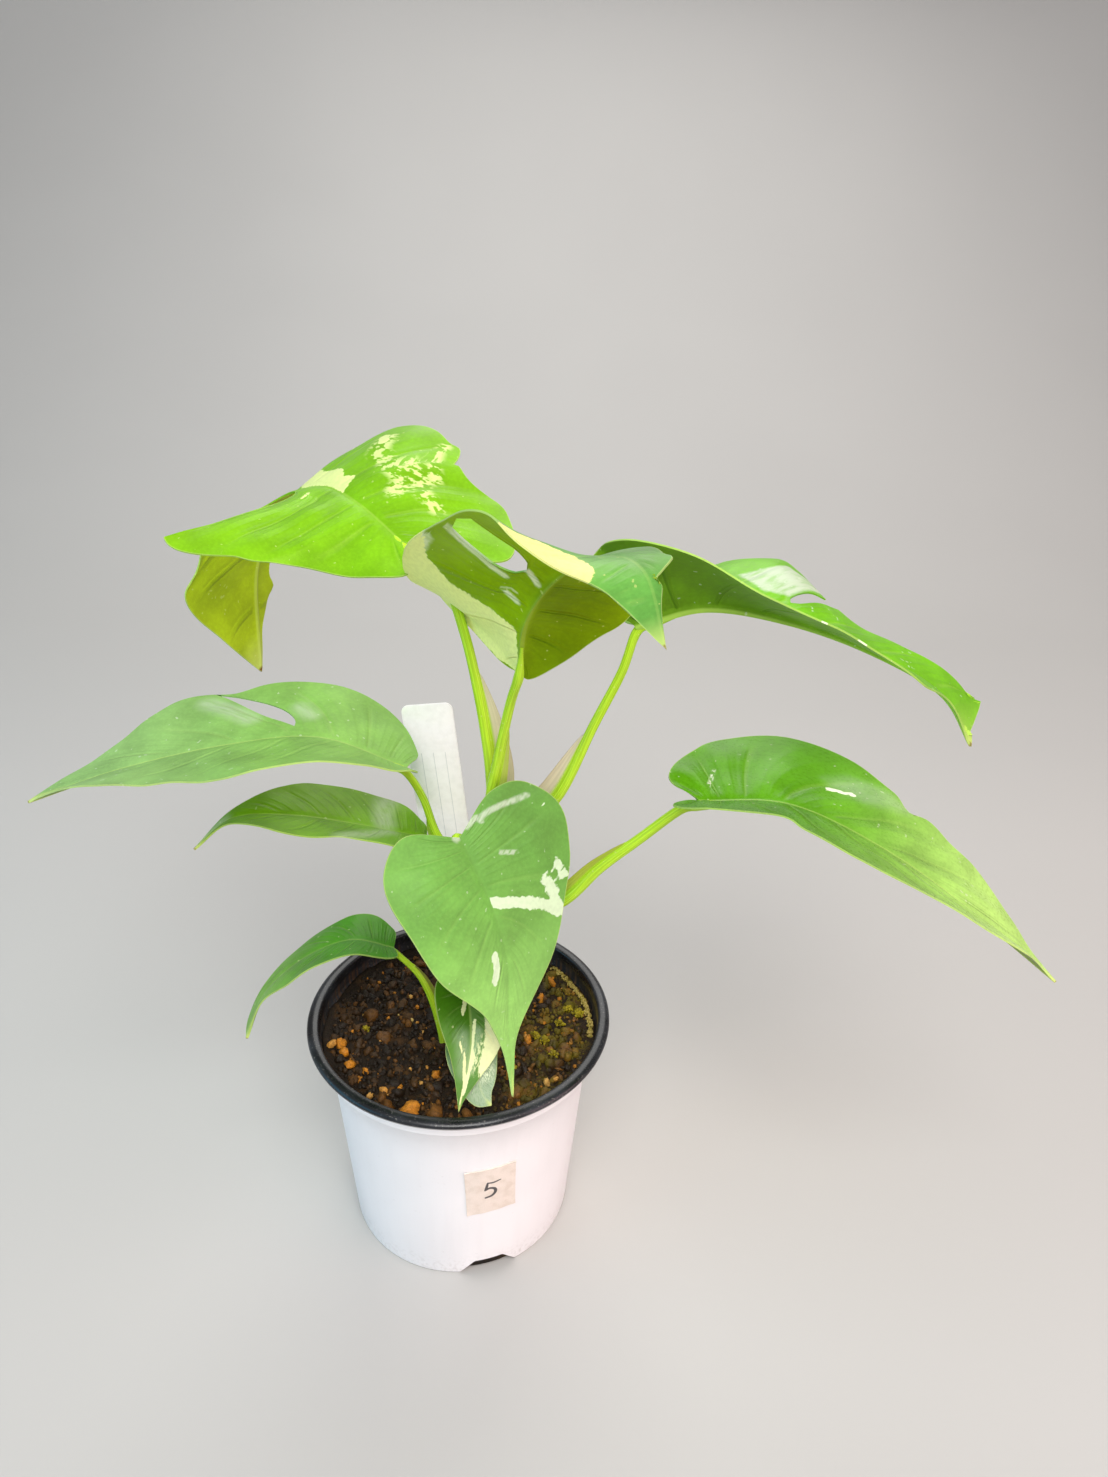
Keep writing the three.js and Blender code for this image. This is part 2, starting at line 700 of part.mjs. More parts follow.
function soil(tools) {
  const random = seededRandom(SOIL.seed);
  const { level } = SOIL;
  const bottom = POT.floor + CLEARANCE;
  const shape = turned([
    [0, bottom],
    ...[bottom, ...POT.levels.slice(1, -1), level]
      .map((height) => [innerRadius(height) - CLEARANCE, height]),
    ...SOIL.rings.map((radius) => [radius, level]),
    [0, level],
  ], SOIL.segments);
  shape.deleteAttribute('normal');
  shape.deleteAttribute('uv');
  const body = mergeVertices(shape, 1e-3);
  const { position } = body.attributes;
  for (let i = 0; i < position.count; i += 1) {
    const fromAxis = Math.hypot(position.getX(i), position.getY(i));
    if (position.getZ(i) > level - 0.1 && fromAxis < SOIL.rings[0] + 0.1) {
      position.setZ(i, level + (2 * random() - 1) * SOIL.roughness);
    }
  }
  const [small, large] = SOIL.grainSize;
  const grains = Array.from({ length: SOIL.grains }, () => {
    const angle = 2 * Math.PI * random();
    const distance = SOIL.grainReach * Math.sqrt(random());
    const at = [distance * Math.cos(angle), distance * Math.sin(angle)];
    return { at, size: lerp(small, large, random()) };
  });
  const stones = [...grains, ...PEBBLES].map(({ at: [x, y], size }) => {
    const stone = new THREE.IcosahedronGeometry(size, 0);
    stone.rotateX(3 * random()).rotateY(3 * random()).scale(1, lerp(0.6, 1, random()), 0.8);
    return toSolid(stone.translate(x, y, level + 0.2 * size));
  });
  return cut(join([toSolid(body), ...stones]), tools);
}

function label(grow) {
  const half = LABEL.width / 2 + grow;
  const { length, corner, pointLength, thickness } = LABEL;
  const outline = new THREE.Shape();
  outline.moveTo(0, -grow);
  outline.lineTo(half, pointLength);
  outline.lineTo(half, length - corner);
  outline.absarc(half - corner, length - corner, corner, 0, Math.PI / 2);
  outline.lineTo(corner - half, length);
  outline.absarc(corner - half, length - corner, corner, Math.PI / 2, Math.PI);
  outline.lineTo(-half, pointLength);
  const depth = thickness + 2 * grow;
  const plate = new THREE.ExtrudeGeometry(outline, { depth, bevelEnabled: false, curveSegments: 4 });
  plate.translate(0, 0, -depth / 2).rotateX(Math.PI / 2).rotateY(degToRad(LABEL.lean));
  return toSolid(plate.translate(...LABEL.foot));
}

// A thin patch that follows the wall.
function sticker() {
  const { width, height, thickness, angle, middle, turn } = STICKER;
  const patch = new THREE.BoxGeometry(width, thickness, height, 6, 1, 1).rotateY(degToRad(turn));
  const { position } = patch.attributes;
  for (let i = 0; i < position.count; i += 1) {
    const z = middle + position.getZ(i);
    const radius = outerRadius(z) + CLEARANCE + thickness / 2 - position.getY(i);
    const direction = degToRad(angle) + position.getX(i) / outerRadius(middle);
    position.setXYZ(i, radius * Math.cos(direction), radius * Math.sin(direction), z);
  }
  return toSolid(patch);
}

// ---------------------------------------------------------------- the plant

function leaves() {
  const taken = [stem(CLEARANCE)];
  const result = {};
  for (const [name, leaf] of Object.entries(LEAVES)) {
    const spine = midrib(leaf);
    const whole = blade(leaf, spine).add(petiole(leaf, spine, 0));
    result[name] = largestBody(cut(whole, taken));
    taken.push(petiole(leaf, spine, CLEARANCE));
  }
  return { solids: result, petioles: taken };
}

const { solids: leafSolids, petioles } = leaves();

const solids = {
  pot: pot(),
  soil: largestBody(soil([...petioles, label(CLEARANCE)])),
  plant_label: label(0),
  number_sticker: sticker(),
  stem: stem(0),
  ...leafSolids,
};

const plant = new THREE.Group();
for (const [name, solid] of Object.entries(solids)) {
  const mesh = new THREE.Mesh(toGeometry(solid), new THREE.MeshStandardMaterial(COLOURS[name]));
  mesh.name = name;
  plant.add(mesh);
}

export default plant;
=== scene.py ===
"""A young variegated mini monstera in its nursery pot, dressed over the packed model."""

import math
import random

import bmesh
import bpy
import numpy as np
from bpy.props import FloatProperty, FloatVectorProperty, IntProperty, PointerProperty
from bpy.types import Operator, Panel, PropertyGroup
from mathutils import Euler, Matrix, Vector, noise


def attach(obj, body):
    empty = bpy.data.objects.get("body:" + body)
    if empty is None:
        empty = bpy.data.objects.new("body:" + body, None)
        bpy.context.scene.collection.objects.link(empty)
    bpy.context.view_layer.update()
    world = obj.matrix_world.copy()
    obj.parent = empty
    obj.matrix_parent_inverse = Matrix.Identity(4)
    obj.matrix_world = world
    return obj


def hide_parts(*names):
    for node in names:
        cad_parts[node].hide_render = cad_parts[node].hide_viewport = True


bl_info = {
    "name": "Mini monstera",
    "version": (1, 0, 0),
    "blender": (4, 5, 0),
    "location": "View3D > Sidebar > Monstera",
    "description": "Builds a young variegated mini monstera in its nursery pot",
    "category": "Add Mesh",
}

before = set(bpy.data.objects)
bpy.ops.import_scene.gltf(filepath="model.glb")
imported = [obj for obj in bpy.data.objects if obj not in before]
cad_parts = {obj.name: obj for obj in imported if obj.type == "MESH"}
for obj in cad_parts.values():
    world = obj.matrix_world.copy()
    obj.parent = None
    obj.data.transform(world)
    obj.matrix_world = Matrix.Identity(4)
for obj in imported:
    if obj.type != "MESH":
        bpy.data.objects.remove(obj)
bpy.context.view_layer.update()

MM = 0.001
TAU = 2 * math.pi
BODY = "root"


# ---------------------------------------------------------------- sizes and colours


def linear(red, green, blue):
    """A colour of 0 to 255 steps as the linear numbers that materials read."""
    return tuple(
        step / 12.92 if step <= 0.04045 else ((step + 0.055) / 1.055) ** 2.4
        for step in (red / 255, green / 255, blue / 255)
    )


def scaled(steps, factor):
    """A colour made darker or lighter by a factor."""
    return tuple(min(1.0, step * factor) for step in steps)


def length(name, description, default):
    """A length in millimetres that the user may change."""
    return FloatProperty(
        name=name,
        description=description,
        default=default * MM,
        precision=4,
        unit="LENGTH",
        subtype="DISTANCE",
    )


def colour(name, description, steps):
    """A colour that the user may change."""
    return FloatVectorProperty(
        name=name,
        description=description,
        default=linear(*steps),
        size=3,
        min=0,
        max=1,
        subtype="COLOR",
    )


def power(name, description, default):
    """The power of a light that the user may change."""
    return FloatProperty(name=name, description=description, default=default, unit="POWER")


class PotSettings(PropertyGroup):
    """Sizes and colours of the pot."""

    height: length("Height", "From the foot to the top of the rim", 85)
    rim_radius: length("Rim radius", "From the axis to the outside of the rim", 52.3)
    foot_radius: length("Foot radius", "From the axis to the outside of the foot", 39.6)
    wall: length("Wall", "Thickness of the plastic", 1.1)
    outside: colour("Outside", "White outer face", (243, 240, 241))
    inside: colour("Inside", "Black inner face and rim", (17, 18, 21))


class SoilSettings(PropertyGroup):
    """Filling of the pot."""

    level: length("Level", "Height of the potting mix", 76.5)
    crumbs: IntProperty(name="Crumbs", description="Loose crumbs on top", default=2600, min=0)
    clods: IntProperty(name="Clods", description="Larger lumps among them", default=420, min=0)
    peat: colour("Peat", "Dark mix", (44, 29, 10))
    bark: colour("Bark", "Brown crumbs", (128, 86, 34))
    grit: colour("Grit", "Orange grains", (216, 138, 34))
    moss: colour("Moss", "Green and yellow moss", (122, 108, 6))


class LabelSettings(PropertyGroup):
    """Plant label and number sticker."""

    label_width: length("Label width", "Width of the plant label", 17)
    label_length: length("Label length", "Length of the plant label", 150)
    plastic: colour("Plastic", "White of the plant label", (255, 250, 254))
    paper: colour("Paper", "Beige of the sticker", (238, 224, 212))
    ink: colour("Ink", "Ink of the number", (18, 22, 34))


class PlantSettings(PropertyGroup):
    """Leaves and stem."""

    blade: length("Blade", "Thickness of a leaf blade", 0.5)
    rib: length("Midrib", "Thickness of a blade at its midrib", 1.7)
    pucker: length("Pucker", "Depth of the quilting between veins", 0.5)
    stalk: colour("Stalk", "Green of stem and petioles", (172, 212, 44))
    # the same colour also paints sheen and highlights on some leaves
    silver: colour("Silver", "Grey white of the variegation", (196, 208, 184))


class StageSettings(PropertyGroup):
    """Floor, lights and camera."""

    floor: colour("Floor", "Pale floor", (188, 186, 182))
    key: power("Key light", "Power of the large light", 14.6)
    fill: power("Fill light", "Power of each of the other lights", 3.8)


SETTINGS = {
    "monstera_pot": PotSettings,
    "monstera_soil": SoilSettings,
    "monstera_label": LabelSettings,
    "monstera_plant": PlantSettings,
    "monstera_stage": StageSettings,
}


# ---------------------------------------------------------------- shader maths


class Signal:
    """A socket of a finish, so that shader maths is written as Python expressions."""

    def __init__(self, finish, socket):
        self.finish = finish
        self.socket = socket

    def math(self, operation, *values):
        return self.finish.node("Math", {"operation": operation}, dict(enumerate(values)))

    def __add__(self, other):
        return self.math("ADD", self, other)

    def __sub__(self, other):
        return self.math("SUBTRACT", self, other)

    def __rsub__(self, other):
        return self.math("SUBTRACT", other, self)

    def __mul__(self, other):
        return self.math("MULTIPLY", self, other)

    def __truediv__(self, other):
        return self.math("DIVIDE", self, other)

    __radd__ = __add__

    def size(self):
        return self.math("ABSOLUTE", self)

    def fraction(self):
        return self.math("FRACT", self)

    def most(self, other):
        return self.math("MAXIMUM", self, other)

    def step(self, low, high):
        """0 at low and 1 at high, with a soft passage between them."""
        values = {"Value": self, "From Min": low, "From Max": high}
        return self.finish.node("MapRange", {"interpolation_type": "SMOOTHSTEP"}, values)

    def part(self, index):
        """One of the three numbers of a vector."""
        return self.finish.node("SeparateXYZ", None, {0: self}, index)

    def parts(self):
        """All three numbers of a vector."""
        outputs = self.part(0).socket.node.outputs
        return [Signal(self.finish, output) for output in outputs]


class Finish:
    """A material, mixed from nodes."""

    def __init__(self, name):
        self.material = bpy.data.materials.new(name)
        self.material.use_nodes = True
        self.tree = self.material.node_tree
        self.tree.nodes.clear()

    def node(self, kind, settings=None, values=None, output=0):
        """Adds a node of this kind: settings first, then the values or links of its sockets."""
        made = self.tree.nodes.new("ShaderNode" + kind)
        for key, value in (settings or {}).items():
            if key == "stops":
                self.set_stops(made.color_ramp, value)
            else:
                setattr(made, key, value)
        for key, value in (values or {}).items():
            if isinstance(value, Signal):
                self.tree.links.new(value.socket, made.inputs[key])
            else:
                made.inputs[key].default_value = value
        return Signal(self, made.outputs[output]) if len(made.outputs) else None

    @staticmethod
    def set_stops(ramp, stops):
        ramp.elements[0].position, ramp.elements[0].color = stops[0][0], (*stops[0][1], 1)
        ramp.elements[1].position, ramp.elements[1].color = stops[-1][0], (*stops[-1][1], 1)
        for position, steps in stops[1:-1]:
            ramp.elements.new(position).color = (*steps, 1)

    def place(self):
        """Object coordinates, in metres."""
        return self.node("TexCoord", None, None, "Object")

    def attribute(self, name):
        return self.node("Attribute", {"attribute_name": name}, None, "Vector")

    def number(self, name):
        return self.node("Attribute", {"attribute_name": name}, None, "Fac")

    def join(self, x, y, z=0.0):
        return self.node("CombineXYZ", None, {0: x, 1: y, 2: z})

    def stretch(self, vector, factors):
        return self.node("VectorMath", {"operation": "MULTIPLY"}, {0: vector, 1: factors})

    def noise(self, vector, scale, detail=2.0, rough=0.5):
        values = {"Vector": vector, "Scale": scale, "Detail": detail, "Roughness": rough}
        return self.node("TexNoise", None, values, "Fac")

    def mix(self, share, first, second, blend="MIX"):
        """The first colour where share is 0, the second where it is 1."""
        sides = [c if isinstance(c, Signal) else (*c, 1) for c in (first, second)]
        settings = {"data_type": "RGBA", "blend_type": blend}
        return self.node("Mix", settings, {0: share, 6: sides[0], 7: sides[1]}, 2)

    def tint(self, first, second):
        """One colour multiplied by another."""
        return self.mix(1.0, first, second, "MULTIPLY")

    def layers(self, base, *coats):
        """A colour with others laid over it in turn, each as (share, colour)."""
        for share, coat in coats:
            base = self.mix(share, base, coat)
        return base

    def ramp(self, share, stops):
        return self.node("ValToRGB", {"stops": stops}, {0: share})

    def relief(self, height, depth):
        """A bump of this depth in millimetres."""
        values = {"Strength": 1.0, "Distance": depth * MM, "Height": height}
        return self.node("Bump", None, values)

    def skin(self, base, roughness, normal, **constants):
        """Closes the material with its surface."""
        values = {"Base Color": base, "Roughness": roughness, "Normal": normal, **constants}
        surface = self.node("BsdfPrincipled", None, values)
        self.node("OutputMaterial", None, {"Surface": surface})
        return self.material


# ---------------------------------------------------------------- curves and frames

PATH_SAMPLES = 1200  # places that the length of a path is measured with
SLIT_OPENING = 0.35  # the share of a slit's length in which it opens
SLIT_LEAN = 0.85  # below 1, a slit pointed at both ends is widest before its middle
SLIT_REACH = 1.6  # how far beside a slit the blade is pushed aside, in widths of the slit
VEIN_BOW = (0.25, 0.55)  # how a main vein leaves the midrib: along it and away from it


def curve_points(points, shares):
    """A smooth curve through points, at shares from 0 to 1."""
    points = np.asarray(points, float)
    last = len(points) - 1
    position = np.clip(np.atleast_1d(shares), 0, 1) * last
    index = np.minimum(position.astype(int), last - 1)
    rest = (position - index)[:, None]
    padded = np.vstack([2 * points[0] - points[1], points, 2 * points[-1] - points[-2]])
    before, start, end, after = (padded[index + k] for k in range(4))
    leave, arrive = (end - before) / 2, (after - start) / 2
    return (
        (2 * start - 2 * end + leave + arrive) * rest**3
        + (3 * end - 3 * start - 2 * leave - arrive) * rest**2
        + leave * rest
        + start
    )


def curve_values(values, shares):
    """A smooth function through evenly spaced values."""
    flat = curve_points(np.asarray(values, float)[:, None], np.ravel(shares))
    return flat[:, 0].reshape(np.shape(shares))


def unit(vectors):
    return vectors / np.linalg.norm(vectors, axis=-1, keepdims=True)


def polar(distance, angle):
    """The place at a distance from the axis, in the direction of an angle."""
    return distance * math.cos(angle), distance * math.sin(angle)


def even_path(points, steps):
    """Evenly spaced points along a smooth curve, and the directions there."""
    dense = curve_points(points, np.linspace(0, 1, PATH_SAMPLES))
    reach = np.r_[0, np.cumsum(np.linalg.norm(np.diff(dense, axis=0), axis=1))]
    wanted = np.linspace(0, reach[-1], steps + 1)
    path = np.stack([np.interp(wanted, reach, dense[:, k]) for k in range(3)], 1)
    return path, unit(np.gradient(path, axis=0))


def soft_step(values, low, high):
    share = np.clip((values - low) / (high - low), 0, 1)
    return share * share * (3 - 2 * share)


class Midrib:
    """The midrib as a curve with directions that turn with it: along, across and up."""

    SAMPLES = 80

    def __init__(self, points, roll):
        self.point = curve_points(points, np.linspace(0, 1, self.SAMPLES + 1))
        self.along = unit(np.gradient(self.point, axis=0))
        steps = np.linalg.norm(np.diff(self.point, axis=0), axis=1)
        self.reach = np.r_[0, np.cumsum(steps)]
        self.length = self.reach[-1]
        across = np.cross(self.along[0], (0, 0, 1))
        level = []
        for along in self.along:
            across = across - across.dot(along) * along
            across = across / np.linalg.norm(across)
            level.append(across)
        level = np.array(level)
        upright = np.cross(level, self.along)
        turn = np.radians(curve_values(roll, self.reach / self.length))[:, None]
        self.across = level * np.cos(turn) - upright * np.sin(turn)
        self.up = np.cross(self.across, self.along)

    def at(self, distance):
        """The frame at distances from the base; past either end the midrib goes straight on."""
        inside = np.clip(distance, 0, self.length)

        def mixed(table):
            return np.stack([np.interp(inside, self.reach, table[:, k]) for k in range(3)], -1)

        along = mixed(self.along)
        point = mixed(self.point) + along * (distance - inside)[..., None]
        return point, mixed(self.across), mixed(self.up)


class HalfBlade:
    """Half of a blade, by the vein's share along the midrib and the share of the way outward."""

    def __init__(self, leaf, spine, side):
        self.leaf = leaf
        self.spine = spine
        self.side = side
        self.half = leaf["right" if side > 0 else "left"]
        self.slits = self.half["slits"]
        self.reference = max(width for _, width in self.half["margin"])

    def pushed_apart(self, vein, outward, lip):
        """The shares along the midrib, moved aside where the blade is slit."""
        result = vein.copy()
        for at, start, end, width, mouth in self.slits:
            grown = np.clip((outward - start) / (end - start), 0, 1)
            opening = np.clip(grown / SLIT_OPENING, 0, 1)
            opened = np.clip((grown - SLIT_OPENING) / (1 - SLIT_OPENING), 0, 1)
            gap = width / 2 * np.sqrt(1 - (1 - opening) ** 2) * (1 + (mouth - 1) * opened)
            if mouth == 0:
                gap = width / 2 * np.sin(math.pi * grown**SLIT_LEAN)
            if end < 1:
                gap = np.where(outward > end, 0, gap)
            reach = SLIT_REACH * width
            offset = result - at
            away = np.abs(offset)
            direction = np.where(away < 1e-9, lip, np.sign(offset))
            moved = at + direction * (gap + away * (reach - gap) / reach)
            result = np.where(away < reach, moved, result)
        return result

    def flat(self, vein, outward, lip=0):
        """Distances along and away from the midrib, and from the margin, in millimetres."""
        moved = np.clip(self.pushed_apart(vein, outward, lip), 0, 1)
        root = self.spine.length * moved ** self.leaf["crowding"]
        edge = curve_points(self.half["margin"], np.ravel(moved)).reshape(moved.shape + (2,))
        edge_x = edge[..., 0] * self.spine.length
        edge_y = np.maximum(edge[..., 1], 0)
        for at, width, height in self.half["teeth"]:
            edge_y = edge_y + height * np.exp(-(((moved - at) / width) ** 2)) * (edge_y > 0)
        bow_x = root + (edge_x - root) * VEIN_BOW[0]
        bow_y = VEIN_BOW[1] * edge_y
        rest = 1 - outward
        x = rest**2 * root + 2 * outward * rest * bow_x + outward**2 * edge_x
        y = 2 * outward * rest * bow_y + outward**2 * edge_y
        rim = np.hypot(edge_x - x, edge_y - y)
        return x, y, rim

    def space(self, x, y, lift=0):
        """Where a point of the flat half lies, in millimetres."""
        share = np.clip(x / self.spine.length, 0, 1)
        tilt = np.radians(curve_values(self.half["rise"], share))
        bend = np.radians(curve_values(self.half["curl"], share)) / self.reference
        bend = np.where(np.abs(bend) < 1e-6, 1e-6, bend)
        sideways = (np.sin(tilt + bend * y) - np.sin(tilt)) / bend
        height = (np.cos(tilt) - np.cos(tilt + bend * y)) / bend
        point, across, up = self.spine.at(x)
        turned = tilt + bend * y
        out_x = self.side * (sideways - lift * np.sin(turned))
        out_z = height + lift * np.cos(turned)
        return point + across * out_x[..., None] + up * out_z[..., None]


# ---------------------------------------------------------------- modelling by hand


def deselect_all():
    if bpy.context.object and bpy.context.object.mode != "OBJECT":
        bpy.ops.object.mode_set(mode="OBJECT")
    bpy.ops.object.select_all(action="DESELECT")


def added(operator, name, **settings):
    """The object that one of Blender's adding operators makes, under its new name."""
    deselect_all()
    operator(**settings)
    made = bpy.context.object
    made.name = made.data.name = name
    return made


def make_active(piece):
    deselect_all()
    piece.select_set(True)
    bpy.context.view_layer.objects.active = piece


def corner_places(piece):
    places = np.empty(len(piece.data.vertices) * 3)
    piece.data.vertices.foreach_get("co", places)
    return places.reshape(-1, 3)


def move_corners(piece, places):
    piece.data.vertices.foreach_set("co", np.ascontiguousarray(places, float).ravel())
    piece.data.update()


def write_attribute(piece, name, values):
    """Keeps a number or three numbers with each corner, for the finish to read."""
    values = np.asarray(values, float)
    if values.ndim == 1:
        layer = piece.data.attributes.new(name, "FLOAT", "POINT")
        layer.data.foreach_set("value", values)
    else:
        layer = piece.data.attributes.new(name, "FLOAT_VECTOR", "POINT")
        layer.data.foreach_set("vector", values.ravel())


def new_grid(name, rows, columns):
    """A flat grid, 2 wide and centred, whose corners are moved into place later."""
    steps = {"x_subdivisions": rows, "y_subdivisions": columns}
    return added(bpy.ops.mesh.primitive_grid_add, name, size=2, calc_uvs=False, **steps)


def grid_steps(piece, rows, columns):
    """The row and the column of each corner of a flat grid."""
    places = corner_places(piece)
    row = np.rint((places[:, 0] + 1) / 2 * rows).astype(int)
    column = np.rint((places[:, 1] + 1) / 2 * columns).astype(int)
    return row, column


def edit(piece, *steps):
    """Runs mesh operators on the whole piece in edit mode."""
    make_active(piece)
    bpy.ops.object.mode_set(mode="EDIT")
    bpy.ops.mesh.select_all(action="SELECT")
    for step in steps:
        step()
    bpy.ops.object.mode_set(mode="OBJECT")


def select_only(piece, kind, test):
    """Selects only the edges or the corners that pass a test, in edit mode."""
    bpy.ops.mesh.select_mode(type=kind)
    bpy.ops.mesh.select_all(action="DESELECT")
    mesh = bmesh.from_edit_mesh(piece.data)
    for part in mesh.edges if kind == "EDGE" else mesh.verts:
        part.select = test(part)
    mesh.select_flush(True)
    bmesh.update_edit_mesh(piece.data)


def close_ends():
    """Closes the open ends of a tube, as a step of an edit."""
    bpy.ops.mesh.select_all(action="DESELECT")
    bpy.ops.mesh.select_non_manifold()
    bpy.ops.mesh.fill_holes(sides=0)
    bpy.ops.mesh.select_all(action="SELECT")


def weld(distance=0.01):
    return lambda: bpy.ops.mesh.remove_doubles(threshold=distance * MM)


def face_outwards():
    bpy.ops.mesh.normals_make_consistent(inside=False)


def modify(piece, kind, **settings):
    """Adds a modifier and applies it at once."""
    make_active(piece)
    bpy.ops.object.modifier_add(type=kind)
    modifier = piece.modifiers[-1]
    for key, value in settings.items():
        setattr(modifier, key, value)
    bpy.ops.object.modifier_apply(modifier=modifier.name)


def smooth(piece, degrees=None):
    make_active(piece)
    if degrees is None:
        bpy.ops.object.shade_smooth()
    else:
        bpy.ops.object.shade_smooth_by_angle(angle=math.radians(degrees))


def merge(first, *others):
    """Joins pieces into the first one, with their finishes."""
    deselect_all()
    for piece in (first, *others):
        piece.select_set(True)
    bpy.context.view_layer.objects.active = first
    bpy.ops.object.join()
    return first


def tube(name, path, directions, rings):
    """A closed tube with one ring of places to each point of the path."""
    count, sides = rings.shape[:2]
    piece = new_grid(name, count - 1, sides)
    row, column = grid_steps(piece, count - 1, sides)
    column = column % sides
    front, side = directions
    out = rings[row, column]
    places = path[row] + front[row] * out[:, :1] + side[row] * out[:, 1:2]
    move_corners(piece, places * MM)
    return piece, row, column


def finish_piece(piece, node):
    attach(piece, BODY)
    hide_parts(node)


def repaint(piece, *finishes):
    """Gives the piece these materials and no others."""
    piece.data.materials.clear()
    for finish in finishes:
        piece.data.materials.append(finish)


# ---------------------------------------------------------------- the plant's shape
# A leaf has its midrib in millimetres and the turn of the blade about it in degrees. Patches are
# (side, radius, places), each place a vein's share and the share of the way outward; a patch with
# radius 0 is an area, any other a stroke.

LEAF_USUAL = {
    "crowding": 2,  # above 1, the veins stand closer at the base
    "shade": (1, 1),  # painted light and shade: how light the left and the right half are
    "sheen": (1, 1, 0.72),  # tint of the gloss
    "keel": 1,  # how far the midrib stands out below
    "sink": 1,  # how deep the petiole lies under the midrib
    "glow": 1,  # painted glow: how much lighter pale parts are seen from below, as if light shone through
    "haze": 0.72,  # how dense the grey white and the painted sheen are
    "cream": [],
    "speckle": [],
    # grey white of the variegation, and on some leaves painted sheen and highlights
    "silver": [],
}


def leaf_shape(**shape):
    """A leaf, with the usual value for whatever isn't said of it."""
    return {**LEAF_USUAL, **shape}


def half_shape(margin, rise, curl=(0, 0), slits=(), teeth=()):
    """Half a blade. The margin is given by the share of the midrib's length and the distance from
    it, rise and curl of the surface in degrees, slits as (vein, from, to, width, mouth) and teeth
    as (vein, width, height). A slit whose mouth is 0 is pointed at both ends."""
    margin = [(0, 0), *margin, (1, 0)]
    return {"margin": margin, "rise": rise, "curl": curl, "slits": slits, "teeth": teeth}


